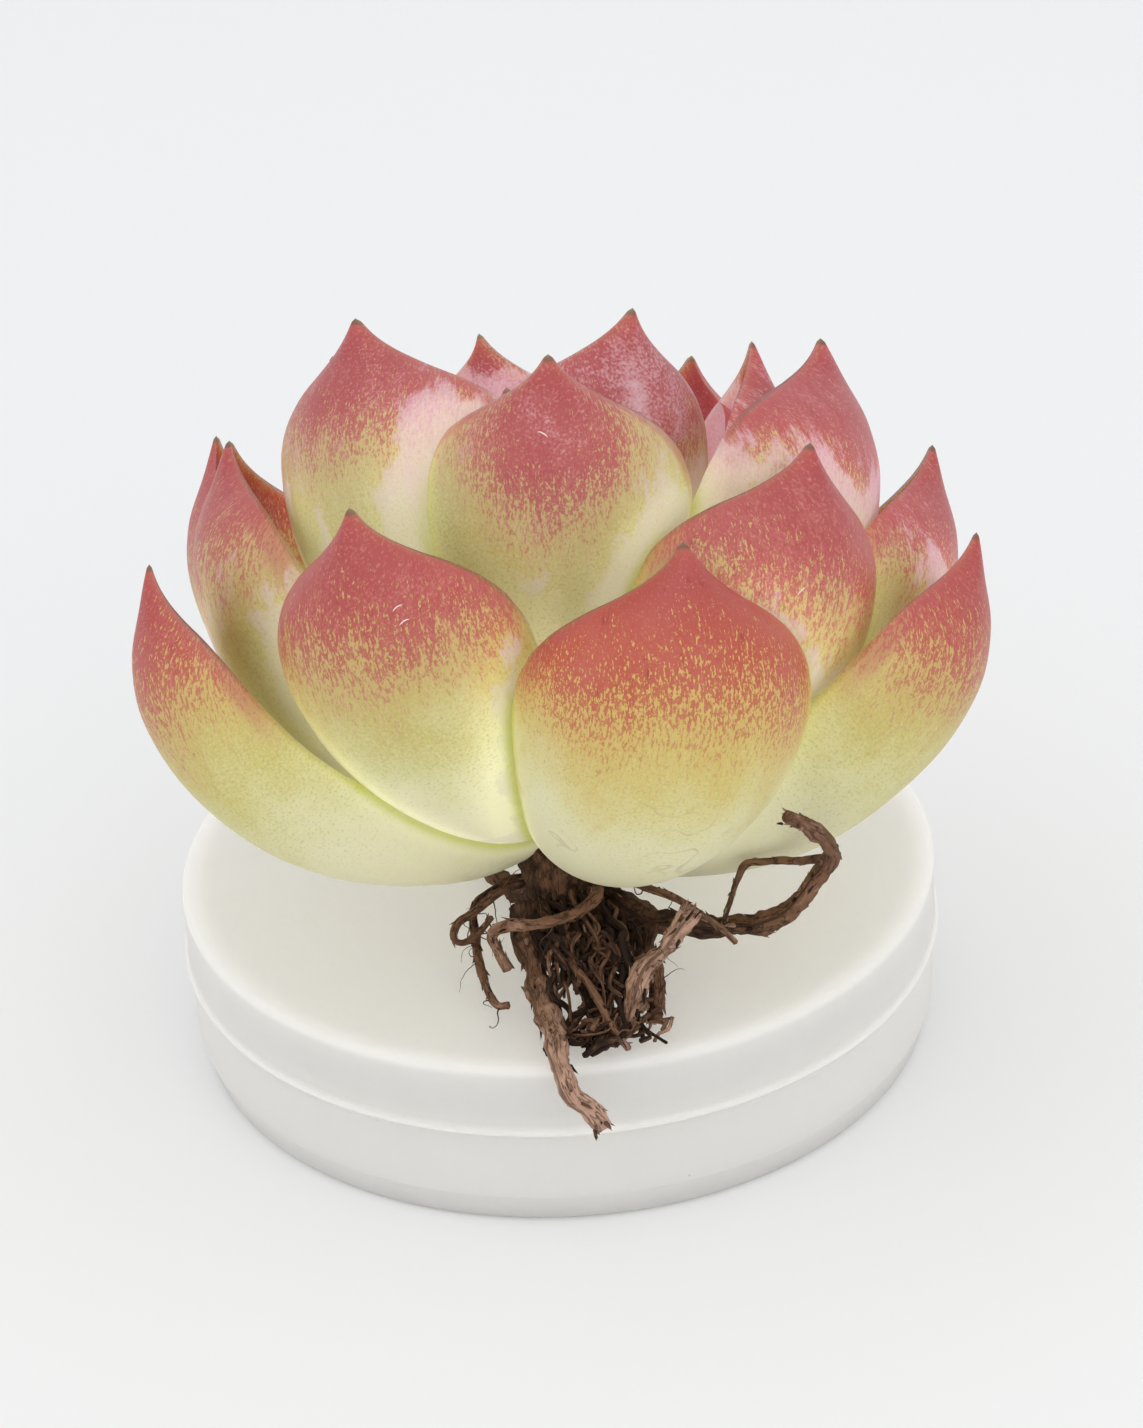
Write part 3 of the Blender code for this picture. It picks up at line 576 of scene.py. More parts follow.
def leaf_grid(number, shape):
    """Rows of points round a leaf in metres, with where each lies on its skin."""
    plan = leaf_plan(number, shape)
    fine = np.linspace(0.0, 1.0, CURVE_STEPS + 1)
    angle = plan["start"] + (plan["end"] - plan["start"]) * fine ** CURL_POWER
    step = plan["length"] / CURVE_STEPS
    out = LEAF_START_RADIUS + run_up(np.cos(angle), step)
    high = plan["height"] + run_up(np.sin(angle), step)

    rows = row_places()
    wide = (plan["half_width"] * smooth_law(WIDTH_LAW, rows))[:, None]
    thick = (plan["half_width"] * smooth_law(THICKNESS_LAW, rows))[:, None]
    radius, height, slope = (np.interp(rows, fine, law)[:, None] for law in (out, high, angle))

    back = np.linspace(-1.0, 1.0, BACK_POINTS) * math.pi / 2
    face = np.linspace(1.0, -1.0, FACE_POINTS)[1:-1] * math.pi / 2
    lift, bulge, hollow = shape.margin_lift * wide, shape.back_bulge * thick, shape.inner_hollow * thick
    around = np.concatenate([back, face])
    across = wide * np.sin(around)[None, :]
    inward = lift - np.concatenate([(lift + bulge) * np.cos(back)[None, :],
                                    (lift + hollow) * np.cos(face)[None, :] ** 2], axis=1)
    inner = np.concatenate([np.zeros(BACK_POINTS), np.ones(FACE_POINTS - 2)])
    inner = np.broadcast_to(inner, across.shape)

    # Faint waves, so that no two leaves catch the light alike
    seed = number * 2.7 + 11.0
    wave = (np.sin(rows[:, None] * 9.0 + seed + 1.3 * np.sin(around * 2 + seed))
            + 0.6 * np.sin(rows[:, None] * 17.0 - around[None, :] * 3 + seed * 1.7)
            + 0.5 * np.sin(around[None, :] * 7 + seed * 0.9) * rows[:, None])
    inward = inward + 0.07 * wave * np.minimum(1.0, wide / 4.0) * (1 - 2 * inner)

    cos_roll, sin_roll = math.cos(plan["roll"]), math.sin(plan["roll"])
    rolled = across * cos_roll - inward * sin_roll + plan["sweep"] * rows[:, None] ** 2
    inward = across * sin_roll + inward * cos_roll
    radial, upward = radius - np.sin(slope) * inward, height + np.cos(slope) * inward
    cos_turn, sin_turn = math.cos(plan["turn"]), math.sin(plan["turn"])
    grid = np.stack([radial * cos_turn - rolled * sin_turn,
                     radial * sin_turn + rolled * cos_turn, upward], axis=-1)
    grid = to_plant(grid.reshape(-1, 3), shape).reshape(grid.shape)

    along = np.broadcast_to(rows[:, None], across.shape)
    share = np.broadcast_to(np.sin(around)[None, :], across.shape)
    arc = around * wide * 0.86
    place = np.stack([arc, along * plan["length"], inner * 7.0 + 3.1 * number], axis=-1)
    return grid, {"spot": np.stack([share, along, inner], axis=-1), "place": place}


def keep_off_lid(grid):
    """Holds a leaf that reaches the lid just above it."""
    over = np.hypot(grid[..., 0], grid[..., 1]) < (BOX_RADIUS + 0.6) * MM
    floor = (LID_TOP + 0.2) * MM
    low = grid[..., 2] < floor
    grid[..., 2] = np.where(over & low, floor, grid[..., 2])
    return grid


def tube_faces(rows, ring):
    """Faces of a tube of rings, closed by a point at each end; the points come last."""
    faces = [(i * ring + j, i * ring + (j + 1) % ring, (i + 1) * ring + (j + 1) % ring, (i + 1) * ring + j)
             for i in range(rows - 1) for j in range(ring)]
    first, last = rows * ring, rows * ring + 1
    faces += [(first, (j + 1) % ring, j) for j in range(ring)]
    faces += [(last, (rows - 1) * ring + j, (rows - 1) * ring + (j + 1) % ring) for j in range(ring)]
    return faces


def tube_points(grid, nose):
    """The points of a tube and its two blunt ends, nose metres long."""
    points = [grid.reshape(-1, 3)]
    for end, before in ((grid[0], grid[1]), (grid[-1], grid[-2])):
        onward = end.mean(axis=0) - before.mean(axis=0)
        points.append((end.mean(axis=0) + onward / np.linalg.norm(onward) * nose)[None, :])
    return np.vstack(points)


def end_values(values):
    """A tube's values per point, with those of its two end points added."""
    flat = values.reshape(-1, values.shape[-1])
    return np.vstack([flat, values[0].mean(axis=0)[None, :], values[-1].mean(axis=0)[None, :]])


def make_piece(name, points, faces, material, vectors=None, numbers=None):
    """A smooth closed piece on body root, with what its material reads stored on its points."""
    mesh = bpy.data.meshes.new(name)
    mesh.from_pydata([tuple(p) for p in points], [], faces)
    for layer, values in (vectors or {}).items():
        attribute = mesh.attributes.new(layer, "FLOAT_VECTOR", "POINT")
        attribute.data.foreach_set("vector", np.asarray(values, np.float32).ravel())
    for layer, values in (numbers or {}).items():
        attribute = mesh.attributes.new(layer, "FLOAT", "POINT")
        attribute.data.foreach_set("value", np.asarray(values, np.float32).ravel())
    body = bmesh.new()
    body.from_mesh(mesh)
    bmesh.ops.recalc_face_normals(body, faces=body.faces)
    body.to_mesh(mesh)
    body.free()
    mesh.shade_smooth()
    mesh.materials.append(material)
    piece = bpy.data.objects.new(name, mesh)
    bpy.context.scene.collection.objects.link(piece)
    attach(piece, "root")
    return piece


def lathe(outline, segments):
    """Points and faces of a body turned from an outline of (radius, height), ends on the axis."""
    points, rings = [], []
    for radius, height in outline:
        count = 1 if radius <= 0 else segments
        rings.append(list(range(len(points), len(points) + count)))
        turns = [2 * math.pi * s / segments for s in range(count)]
        points += [(max(radius, 0.0) * math.cos(a), max(radius, 0.0) * math.sin(a), height) for a in turns]
    faces = []
    for low, high in zip(rings, rings[1:]):
        for s in range(segments):
            n = (s + 1) % segments
            corners = [low[s % len(low)], low[n % len(low)], high[n % len(high)], high[s % len(high)]]
            faces.append(tuple(dict.fromkeys(corners)))
    return np.array(points), faces


def arc(centre, radius, start, end, count=6):
    """Points of (radius, height) round a corner, from one angle in degrees to another."""
    turns = [math.radians(start + (end - start) * i / count) for i in range(count + 1)]
    return [(centre[0] + radius * math.cos(a), centre[1] + radius * math.sin(a)) for a in turns]


def smooth_line(points, steps):
    """A rounded line through the points, with the given number of steps between each pair."""
    ends = np.vstack([2 * points[0] - points[1], points, 2 * points[-1] - points[-2]])
    line = []
    for a, b, c, d in zip(ends, ends[1:], ends[2:], ends[3:]):
        for t in np.arange(steps) / steps:
            line.append(0.5 * (2 * b + (c - a) * t + (2 * a - 5 * b + 4 * c - d) * t ** 2
                               + (3 * b - a - 3 * c + d) * t ** 3))
    line.append(points[-1])
    return np.array(line)


def run_along(line):
    """How far along a line each of its points is."""
    return np.concatenate([[0], np.cumsum(np.linalg.norm(np.diff(line, axis=0), axis=1))])


def even_line(points, spacing):
    """The rounded line through the points, with points an even distance apart."""
    line = smooth_line(np.array(points, float), 12)
    run = run_along(line)
    where = np.linspace(0, run[-1], max(4, int(run[-1] / spacing)))
    return np.stack([np.interp(where, run, line[:, k]) for k in range(3)], axis=1), where


def line_frames(line):
    """A steady pair of sideways directions along a line."""
    ahead = np.gradient(line, axis=0)
    ahead /= np.linalg.norm(ahead, axis=1, keepdims=True)
    side = np.cross(ahead[0], (0.31, 0.17, 0.93))
    sides = []
    for direction in ahead:
        side = side - direction * np.dot(side, direction)
        side = side / np.linalg.norm(side)
        sides.append(side)
    sides = np.array(sides)
    return ahead, sides, np.cross(ahead, sides)


def ring_points(line, radii, turns, side, other):
    """Rings of points round a line, at the given turns and radii."""
    return (line[:, None, :] + radii * (np.cos(turns)[None, :, None] * side[:, None, :]
                                        + np.sin(turns)[None, :, None] * other[:, None, :]))


def bark_tube(points, start_radius, end_radius, light, seed, spacing=0.22, sides=20, rough=1.0):
    """One root: a knobbly, grooved tube in millimetres from the lid's front."""
    line, run = even_line(points, spacing)
    wobble = np.array([[noise(Vector((r * 0.45, seed + k * 7.3, 0.5))) for k in range(3)] for r in run])
    line = line + wobble * 0.28 * rough * min(1.0, start_radius + 0.3)
    ahead, side, other = line_frames(line)
    share = run / run[-1]
    turns = np.arange(sides) * 2 * math.pi / sides
    base = start_radius + (end_radius - start_radius) * share
    knobs = np.array([noise(Vector((r * 0.62, seed * 3.1, 2.0))) for r in run])
    base = base * (1.0 + 0.28 * rough * knobs)
    groove = np.array([[noise(Vector((math.cos(a) * 1.7 + seed, math.sin(a) * 1.7, r * 0.30))) for a in turns]
                       for r in run])
    chips = np.array([[noise(Vector((math.cos(a) * 3.2, math.sin(a) * 3.2 + seed, r * 1.6))) for a in turns]
                      for r in run])
    radius = base[:, None] * (1.0 + rough * (0.26 * groove + 0.17 * chips))
    grid = ring_points(line, radius[..., None], turns, side, other)
    place = np.stack([np.broadcast_to(turns[None, :] * base.mean(), radius.shape),
                      np.broadcast_to(run[:, None], radius.shape),
                      np.full(radius.shape, seed * 5.0)], axis=-1)
    tones = light[0] + (light[1] - light[0]) * share ** 0.8
    tones = np.broadcast_to(tones[:, None, None], (*radius.shape, 1))
    return {"grid": grid, "place": place, "light": tones, "line": line, "ahead": ahead, "radius": base}


def thin_tube(line, radii, light, seed, sides=6):
    """A fibre along a ready line."""
    _, side, other = line_frames(line)
    run = run_along(line)
    turns = np.arange(sides) * 2 * math.pi / sides
    grid = ring_points(line, radii[:, None, None], turns, side, other)
    place = np.stack([np.broadcast_to(turns[None, :] * 0.4, grid.shape[:2]),
                      np.broadcast_to(run[:, None], grid.shape[:2]), np.full(grid.shape[:2], seed)], axis=-1)
    return {"grid": grid, "place": place, "light": np.full((*grid.shape[:2], 1), light)}


def make_tubes(name, tubes, nose, material):
    """Joins tubes in millimetres from the lid's front into one piece."""
    points, faces, places, lights, used = [], [], [], [], 0
    for tube in tubes:
        rows, ring = tube["grid"].shape[:2]
        grid = (tube["grid"] + LID_FRONT) * MM
        points.append(tube_points(grid, nose * MM))
        faces += [tuple(used + corner for corner in face) for face in tube_faces(rows, ring)]
        places.append(end_values(tube["place"]))
        lights.append(end_values(tube["light"]))
        used += rows * ring + 2
    return make_piece(name, np.vstack(points), faces, material,
                      {"place": np.vstack(places)}, {"light": np.vstack(lights)})


def above_lid(line, radius):
    """Lifts a line that would sink into the lid."""
    over = np.hypot(line[:, 0], line[:, 1] - BOX_RADIUS) < BOX_RADIUS
    line[:, 2] = np.where(over, np.maximum(line[:, 2], radius + 0.1), line[:, 2])
    return line


def frayed_end(tube, count, seed):
    """Torn fibres and bark crumbs that stand out of a root's broken tip."""
    draw = np.random.default_rng(seed)
    tip, ahead, radius = tube["line"][-1], tube["ahead"][-1], tube["radius"][-1]
    fibres = []
    for k in range(count):
        spread = draw.normal(0, 0.5, 3)
        spread -= ahead * spread.dot(ahead)
        start = tip - ahead * draw.uniform(0.2, 1.8) + spread * radius * 1.2
        heading = ahead + spread * draw.uniform(0.1, 0.7)
        reach = draw.uniform(0.2, 0.8) * (0.30 + radius)
        bend = draw.normal(0, 0.25, 3)
        steps = np.linspace(0, 1, 5)[:, None]
        line = start + heading * reach * steps + bend * steps ** 2 * reach
        radii = draw.uniform(0.10, 0.32) * radius * np.sqrt(1.05 - steps[:, 0] ** 2)
        fibres.append(thin_tube(line, radii, draw.uniform(0.1, 1.2), seed + k, 5))
    return fibres


def bark_flakes(tube, count, seed):
    """Slivers of bark that have started to lift off a root."""
    draw = np.random.default_rng(seed)
    slivers = []
    for k in range(count):
        spot = draw.integers(1, len(tube["line"]) - 1)
        radius, ahead = tube["radius"][spot], tube["ahead"][spot]
        out = draw.normal(0, 1, 3)
        out -= ahead * out.dot(ahead)
        out /= np.linalg.norm(out)
        steps = np.linspace(0, 1, 5)[:, None]
        reach = draw.uniform(0.3, 0.9) * (0.5 + radius)
        start = tube["line"][spot] + out * radius * 0.92
        heading = ahead * draw.choice((-1.0, 1.0)) + out * 0.12
        line = start + heading * reach * steps + out * 0.22 * reach * steps ** 2
        thickness = draw.uniform(0.06, 0.16) * (0.4 + radius)
        radii = thickness * np.sqrt(1.02 - steps[:, 0] ** 2)
        slivers.append(thin_tube(above_lid(line, 0.1), radii, draw.uniform(-0.2, 0.9), seed + k * 0.3, 5))
    return slivers


class SUCCULENT_OT_stage(bpy.types.Operator):
    """Camera, seamless paper and soft studio light"""
    bl_idname = "succulent.stage"
    bl_label = "Stage"

    def execute(self, context):
        setup = context.scene.succulent_stage
        self.place_camera(context, setup)
        self.lay_paper(setup)
        self.light(context, setup)
        context.scene.view_settings.view_transform = "Standard"
        return {"FINISHED"}

    def place_camera(self, context, setup):
        data = bpy.data.cameras.new("camera")
        data.lens = setup.lens
        data.sensor_width = 36.0
        data.clip_start, data.clip_end = 0.01, 10.0
        camera = bpy.data.objects.new("camera", data)
        context.scene.collection.objects.link(camera)
        place = Vector((0, -math.cos(setup.elevation), math.sin(setup.elevation))) * setup.distance
        forward, right = -place.normalized(), Vector((1, 0, 0))
        up = right.cross(forward)
        ahead = math.cos(setup.tilt) * forward + math.sin(setup.tilt) * up
        up = math.cos(setup.tilt) * up - math.sin(setup.tilt) * forward
        right, ahead = (math.cos(setup.pan) * right - math.sin(setup.pan) * ahead,
                        math.cos(setup.pan) * ahead + math.sin(setup.pan) * right)
        right, up = (math.cos(setup.roll) * right + math.sin(setup.roll) * up,
                     math.cos(setup.roll) * up - math.sin(setup.roll) * right)
        turned = Matrix((right, up, -ahead)).transposed().to_4x4()
        camera.matrix_world = Matrix.Translation(place) @ turned
        context.scene.camera = camera

    def lay_paper(self, setup):
        """Paper that runs flat under the box and curves up far behind it."""
        outline = [(-1.4, 0.0), (0.55, 0.0)]
        outline += [(0.55 + 0.45 * math.sin(a), 0.45 - 0.45 * math.cos(a))
                    for a in (math.radians(9 * k) for k in range(1, 11))]
        outline.append((1.0, 1.8))
        mesh = bpy.data.meshes.new("paper")
        points = [(x, y, z - 0.0001) for x in (-2.2, 2.2) for y, z in outline]
        count = len(outline)
        mesh.from_pydata(points, [], [(i, i + 1, count + i + 1, count + i) for i in range(count - 1)])
        mesh.shade_smooth()
        mesh.materials.append(paper_material(setup))
        paper = bpy.data.objects.new("paper", mesh)
        bpy.context.scene.collection.objects.link(paper)

    def light(self, context, setup):
        world = bpy.data.worlds.new("studio")
        world.use_nodes = True
        background = world.node_tree.nodes["Background"]
        background.inputs["Color"].default_value = (1.0, 1.0, 1.0, 1.0)
        background.inputs["Strength"].default_value = setup.sky
        context.scene.world = world
        for name, place, size, power in (
                ("key", (-0.05, -0.10, 0.64), 0.70, setup.key),
                ("fill", (0.30, -0.65, 0.35), 0.50, setup.fill)):
            data = bpy.data.lights.new(name, "AREA")
            data.energy, data.size = power, size
            lamp = bpy.data.objects.new(name, data)
            lamp.location = place
            aim = Vector((0, -0.01, 0.03)) - Vector(place)
            lamp.rotation_euler = aim.to_track_quat("-Z", "Y").to_euler()
            context.scene.collection.objects.link(lamp)


class SUCCULENT_OT_box(bpy.types.Operator):
    """The frosted lid and the open dish under it"""
    bl_idname = "succulent.box"
    bl_label = "Frosted box"

    def execute(self, context):
        box = context.scene.succulent_box
        material = frosted_material(box)
        for name, outline in (("lid_shell", self.lid_outline(box)), ("dish_shell", self.dish_outline())):
            points, faces = lathe(outline, BOX_SEGMENTS)
            piece = make_piece(name, points * MM, faces, material, {"place": points})
            piece.data.set_sharp_from_angle(angle=math.radians(35))
            node = name.replace("_shell", "")
            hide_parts("frosted_" + node)
            "frosted_" + node
        return {"FINISHED"}

    def lid_outline(self, box):
        edge, lip = box.edge_round / MM, box.lip / MM
        inner, under = BOX_RADIUS - WALL, LID_TOP - WALL
        return ([(0, under), (inner - 0.5, under)] + arc((inner - 0.5, under - 0.5), 0.5, 90, 0)
                + [(inner, SKIRT_EDGE + 0.15), (inner + 0.15, SKIRT_EDGE)]
                + [(BOX_RADIUS + lip - 0.25, SKIRT_EDGE)]
                + arc((BOX_RADIUS + lip - 0.28, SKIRT_EDGE + 0.35), 0.35, -90, 70)
                + [(BOX_RADIUS, SKIRT_EDGE + 0.95), (BOX_RADIUS, LID_TOP - edge)]
                + arc((BOX_RADIUS - edge, LID_TOP - edge), edge, 0, 90)
                + [(BOX_RADIUS - edge - 0.9, LID_TOP - 0.02), (BOX_RADIUS - edge - 1.3, LID_TOP - 0.12),
                   (BOX_RADIUS - edge - 2.6, LID_TOP - 0.10), (0, LID_TOP - 0.05)])

    def dish_outline(self):
        wall = BOX_RADIUS - 0.2
        neck = BOX_RADIUS - WALL - GAP
        inner, shoulder = neck - WALL, SKIRT_EDGE - GAP
        rim = LID_TOP - WALL - GAP
        return ([(0, 0.5), (wall - 4.2, 0.5), (wall - 3.8, 0.0), (wall - 1.2, 0.0)]
                + arc((wall - 1.2, 0.6), 0.6, -90, -15)
                + [(wall - 0.42, FOOT_BAND - 0.1)] + arc((wall - 0.22, FOOT_BAND + 0.22), 0.22, -90, 0, 4)
                + [(wall, shoulder - 0.35)] + arc((wall - 0.35, shoulder - 0.35), 0.35, 0, 90, 4)
                + [(neck, shoulder), (neck, rim - 0.2), (neck - 0.2, rim)]
                + [(inner + 0.2, rim), (inner, rim - 0.2)]
                + [(inner, WALL + 1.2)] + arc((inner - 1.2, WALL + 1.2), 1.2, 0, -90) + [(0, WALL)])


class SUCCULENT_OT_leaves(bpy.types.Operator):
    """All leaves of the rosette, oldest first"""
    bl_idname = "succulent.leaves"
    bl_label = "Leaves"

    def execute(self, context):
        shape = context.scene.succulent_shape
        material = leaf_material(context.scene.succulent_skin)
        faces = tube_faces(LEAF_ROWS, LEAF_RING)
        grown = []
        for place, name in enumerate(LEAF_NAMES):
            number = FIRST_LEAF + place
            grid, vectors = leaf_grid(number, shape)
            points = tube_points(keep_off_lid(grid), LEAF_NOSE * MM)
            grown.append((name, number, points, {k: end_values(v) for k, v in vectors.items()}))
        trees = [BVHTree.FromPolygons([Vector(p) for p in points], faces) for _, _, points, _ in grown]
        for index, (name, number, points, vectors) in enumerate(grown):
            line, reach, warmth, wax, side, scars = HABITS.get(number, COMMON_HABIT)
            vectors["habit"] = np.broadcast_to((line, warmth, wax), points.shape)
            vectors["reach"] = np.broadcast_to((reach, side, scars), points.shape)
            older = self.distance(points, trees[:index])
            near = np.minimum(older, self.distance(points, trees[index + 1:]))
            piece = make_piece(name.replace("leaf", "grown_leaf"), points, faces, material, vectors,
                               {"crowd": np.exp(-near), "cover": np.exp(-older / COVERED_WIDTH)})
            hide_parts(name)
        self.scuffs({number: points for _, number, points, _ in grown})
        return {"FINISHED"}

    def scuffs(self, leaves):
        """Short raised scuffs, glossy and coloured near-white as painted highlights."""
        rows = row_places()
        tubes = []
        for number, along, across, tilt in SCUFFS:
            grid = leaves[number][:-2].reshape(LEAF_ROWS, LEAF_RING, 3) / MM
            row = int(np.argmin(abs(rows - along)))
            column = int(np.argmin(abs(np.sin(np.linspace(-1, 1, BACK_POINTS) * math.pi / 2) - across)))
            spot = grid[row, column]
            up = grid[row + 1, column] - grid[row - 1, column]
            side = grid[row, column + 1] - grid[row, column - 1]
            up, side = up / np.linalg.norm(up), side / np.linalg.norm(side)
            out = np.cross(up, side)
            out *= np.sign(out.dot(spot - grid[row].mean(axis=0)))
            sweep = np.linspace(-SCUFF_REACH, SCUFF_REACH, 7)[:, None]
            line = (spot + side * sweep * math.cos(tilt) + up * (sweep * math.sin(tilt) - 0.5 * sweep ** 2)
                    + out * 0.02 - out * sweep ** 2 * 0.06)
            radii = SCUFF_RADIUS * np.sqrt(1.02 - (sweep[:, 0] / SCUFF_REACH) ** 2)
            tubes.append(thin_tube(line - LID_FRONT, radii, 1.0, 1.0, 8))
        # Painted highlight: near-white, pink-tinged colour on the glossy scuffs
        paint = Paint("scuff_painted_highlight")
        cells = paint.grain(paint.attribute("place"), (6.0, 6.0, 1.0))
        painted_highlight = paint.mix(cells + 0.5, tint(236, 196, 190), tint(250, 240, 236))
        material = paint.finish({"Base Color": painted_highlight, "Roughness": 0.12 + cells * 0.06})
        make_tubes("leaf_scuffs_and_highlights", tubes, 0.02, material)

    def distance(self, points, others):
        """Millimetres from each point to the nearest of the other leaves, up to NEAR."""
        nearest = np.full(len(points), NEAR * MM)
        for tree in others:
            for k, point in enumerate(points):
                found = tree.find_nearest(point, nearest[k])[3]
                if found is not None:
                    nearest[k] = found
        return nearest / MM


class SUCCULENT_OT_crown(bpy.types.Operator):
    """The short bare stem that the leaves and roots grow from"""
    bl_idname = "succulent.crown"
    bl_label = "Crown"

    def execute(self, context):
        shape = context.scene.succulent_shape
        outline = [(0, -4.6), (1.2, -4.5), (2.2, -4.1), (3.0, -3.1), (3.4, -1.8), (3.65, -0.4), (3.7, 0.8),
                   (3.5, 2.2), (2.9, 3.4), (1.9, 4.6), (1.8, 8.0), (1.7, 12.0), (0.8, 14.6), (0, 15.0)]
        run = np.linspace(0, len(outline) - 1, CROWN_ROWS)
        fine = [tuple(np.interp(run_at, range(len(outline)), law) for law in zip(*outline)) for run_at in run]
        points, faces = lathe(fine, CROWN_SEGMENTS)
        bumps = np.array([noise(Vector(p * 0.9)) + 0.5 * noise(Vector(p * (2.1, 2.1, 4.5))) for p in points])
        spread = np.clip(np.hypot(points[:, 0], points[:, 1]), 0, 1)
        rings = 0.16 * np.sin(points[:, 2] * 5.2) * spread
        points[:, :2] *= (1.0 + (0.09 * bumps + 0.10 * rings) * spread)[:, None]
        turn = np.arctan2(points[:, 1], points[:, 0])
        place = np.stack([turn * 3.0, points[:, 2], np.full(len(points), 2.0)], axis=1)
        light = np.full(len(points), 0.12)
        piece = make_piece("bare_stem", to_plant(points, shape), faces,
                           bark_material(context.scene.succulent_bark), {"place": place}, {"light": light})
        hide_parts("crown")
        return {"FINISHED"}


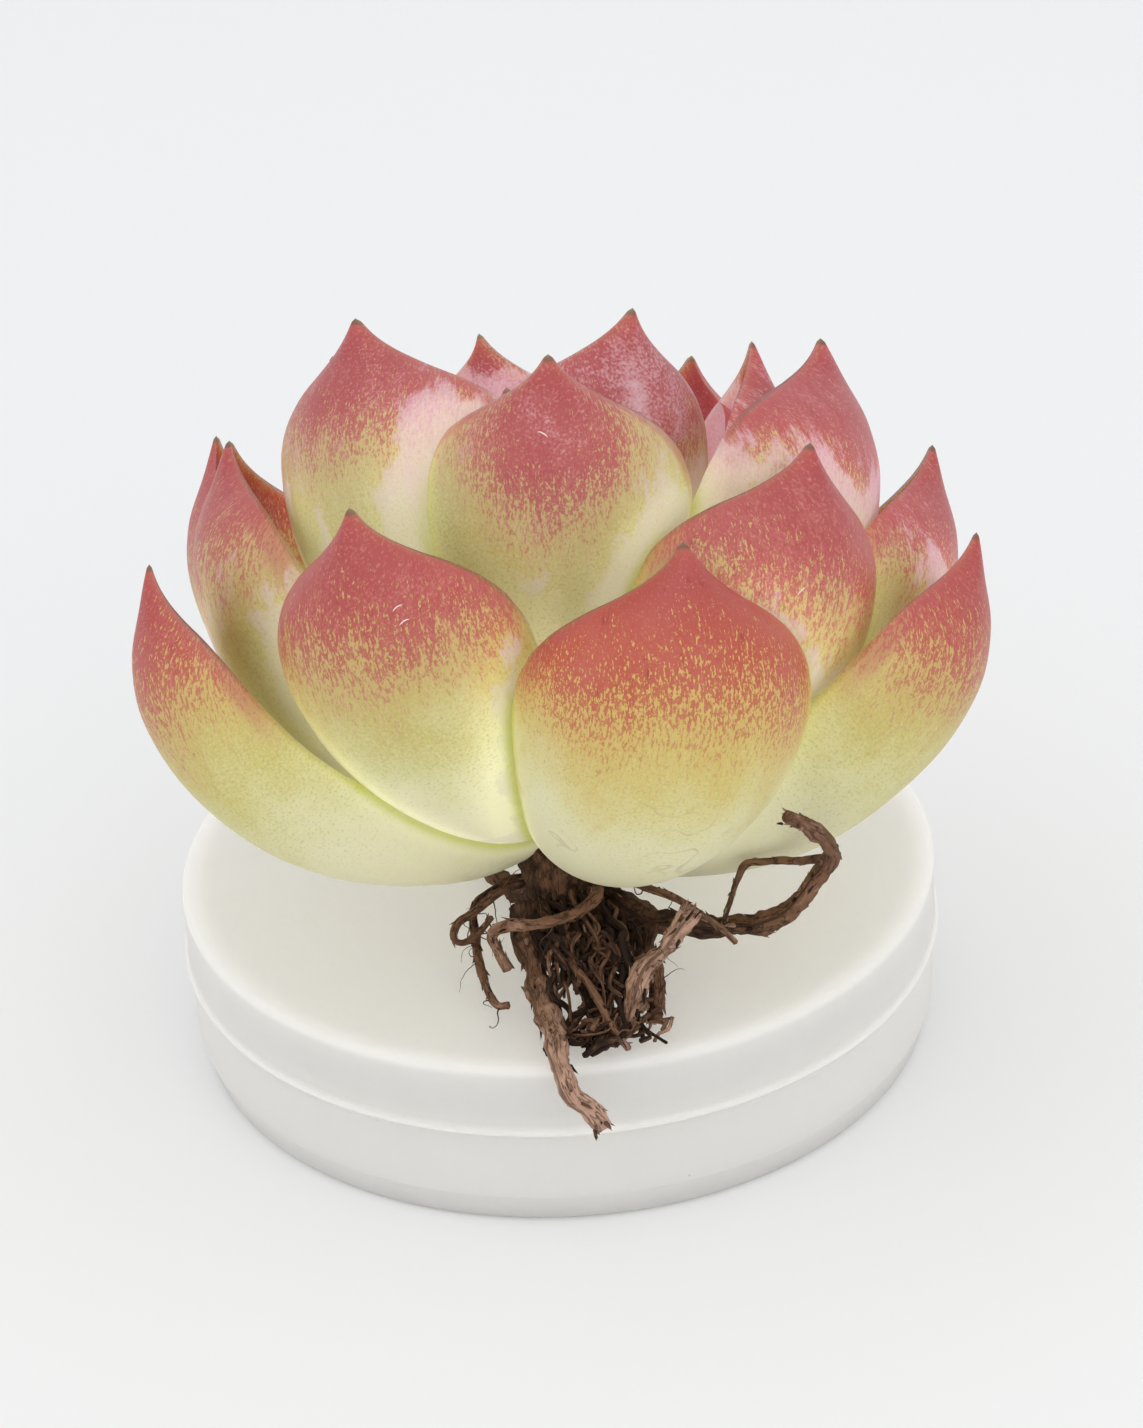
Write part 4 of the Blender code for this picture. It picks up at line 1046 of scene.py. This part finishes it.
class SUCCULENT_OT_roots(bpy.types.Operator):
    """The named roots with their torn ends, the knot of thin roots and the root hairs"""
    bl_idname = "succulent.roots"
    bl_label = "Roots"

    def execute(self, context):
        bark = context.scene.succulent_bark
        material = bark_material(bark)
        tubes = {}
        for index, (name, (start, end, dark, light, fray, points)) in enumerate(ROOTS.items()):
            # A root that is thicker at its tip broke there and is the flakier for it
            rough = 1.7 if end > start else 1.0
            tube = bark_tube(points, start, end, (dark, light), index * 1.7 + 0.4, rough=rough)
            tubes[name] = tube
            flakes = bark_flakes(tube, int(len(tube["line"]) * 0.45 * rough), 70 + index)
            parts = [tube] + frayed_end(tube, fray, 40 + index) + flakes
            piece = make_tubes(name.replace("root", "dry_root"), parts, 0.12, material)
            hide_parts(name)
        make_tubes("root_knot", self.knot(bark.tangle_count), 0.1, material)
        make_tubes("root_hairs", self.hairs(bark.hair_count, tubes), 0.05, material)
        return {"FINISHED"}

    def knot(self, count):
        """Thin roots that tumble forward from the crown on to the lid, and loops where they end."""
        draw = np.random.default_rng(7)
        tubes = []
        for k in range(count):
            side = draw.uniform(-1.0, 1.0)
            radius = draw.uniform(0.12, 0.40)
            light = draw.uniform(-0.25, 0.50)
            if k % 3:
                start = np.array((0.9 + side * 2.8, 13.0 + draw.normal(0, 0.7), 5.4 + draw.normal(0, 0.9)))
                end = np.array((2.8 + side * 2.9 + draw.normal(0, 0.5), 3.4 + draw.normal(0, 1.2),
                                1.0 + abs(draw.normal(0, 0.9))))
                share = np.linspace(0, draw.uniform(0.65, 1.05), 9)[:, None]
                points = start + (end - start) * share + draw.normal(0, 0.6, (9, 3)) * np.sqrt(share)
                points[:, 2] += 1.6 * np.sin(share[:, 0] * math.pi)
            else:
                # Loops curled up where the thin roots end
                turns = np.linspace(0, draw.uniform(2.5, 5.5), 9) + draw.uniform(0, 6.3)
                loop = np.stack([np.cos(turns), 0.7 * np.sin(turns), 0.4 * np.sin(turns * 1.3)], axis=1)
                centre = np.array((3.2 + draw.normal(0, 1.3), 3.2 + draw.normal(0, 1.0),
                                   0.9 + abs(draw.normal(0, 0.7))))
                points = centre + loop * draw.uniform(0.7, 2.0) + draw.normal(0, 0.2, (9, 3))
                radius, light = radius * 0.75, light + 0.15
            tubes.append(bark_tube(above_lid(points, 0.4), radius, radius * 0.5, (light - 0.1, light),
                                   9.0 + k * 0.77, 0.35, 8, 1.0))
            tubes += frayed_end(tubes[-1], 2, 300 + k)
        return tubes

    def hairs(self, count, tubes):
        """Fine curly fibres on the named roots, except root_arch, root_long and root_wiry."""
        draw = np.random.default_rng(23)
        names = [name for name in tubes if name not in ("root_arch", "root_long", "root_wiry")]
        weights = np.array([len(tubes[name]["line"]) for name in names], float)
        made = []
        for k in range(count):
            tube = tubes[names[draw.choice(len(names), p=weights / weights.sum())]]
            spot = draw.integers(1, len(tube["line"]) - 1)
            heading = draw.normal(0, 1, 3)
            heading -= tube["ahead"][spot] * heading.dot(tube["ahead"][spot]) * 0.7
            heading /= np.linalg.norm(heading)
            steps = 14
            reach = draw.uniform(1.0, 4.2)
            curl = draw.normal(0, 0.22, 3)
            line = [tube["line"][spot] + heading * tube["radius"][spot] * 0.6]
            for _ in range(steps):
                heading = heading + np.cross(heading, curl) + draw.normal(0, 0.16, 3)
                heading /= np.linalg.norm(heading)
                line.append(line[-1] + heading * reach / steps)
            line = above_lid(np.array(line), 0.05)
            radii = np.linspace(draw.uniform(0.03, 0.07), 0.015, steps + 1)
            made.append(thin_tube(line, radii, draw.uniform(-0.1, 0.5), 3.0 + k, 5))
        return made


class SUCCULENT_PT_panel(bpy.types.Panel):
    """Every setting and every step of the build"""
    bl_idname = "SUCCULENT_PT_panel"
    bl_label = "Succulent"
    bl_space_type = "VIEW_3D"
    bl_region_type = "UI"
    bl_category = "Succulent"

    def draw(self, context):
        layout = self.layout
        for group, steps in PANEL_ROWS:
            settings = getattr(context.scene, group)
            box = layout.box()
            for name in settings.__annotations__:
                box.prop(settings, name)
            for step in steps:
                box.operator(step.bl_idname)


GROUPS = {
    "succulent_stage": StageSetup,
    "succulent_box": FrostedBox,
    "succulent_shape": RosetteShape,
    "succulent_skin": LeafSkin,
    "succulent_bark": RootBark,
}
PANEL_ROWS = (
    ("succulent_stage", (SUCCULENT_OT_stage,)),
    ("succulent_box", (SUCCULENT_OT_box,)),
    ("succulent_shape", (SUCCULENT_OT_crown,)),
    ("succulent_skin", (SUCCULENT_OT_leaves,)),
    ("succulent_bark", (SUCCULENT_OT_roots,)),
)
CLASSES = (*GROUPS.values(), SUCCULENT_OT_stage, SUCCULENT_OT_box, SUCCULENT_OT_leaves,
           SUCCULENT_OT_crown, SUCCULENT_OT_roots, SUCCULENT_PT_panel)


def register():
    for made in CLASSES:
        bpy.utils.register_class(made)
    for name, group in GROUPS.items():
        setattr(bpy.types.Scene, name, PointerProperty(type=group))


def unregister():
    for name in GROUPS:
        delattr(bpy.types.Scene, name)
    for made in reversed(CLASSES):
        bpy.utils.unregister_class(made)


def main():
    register()
    bpy.ops.succulent.stage()
    bpy.ops.succulent.box()
    bpy.ops.succulent.leaves()
    bpy.ops.succulent.crown()
    bpy.ops.succulent.roots()


if __name__ == "__main__":
    main()
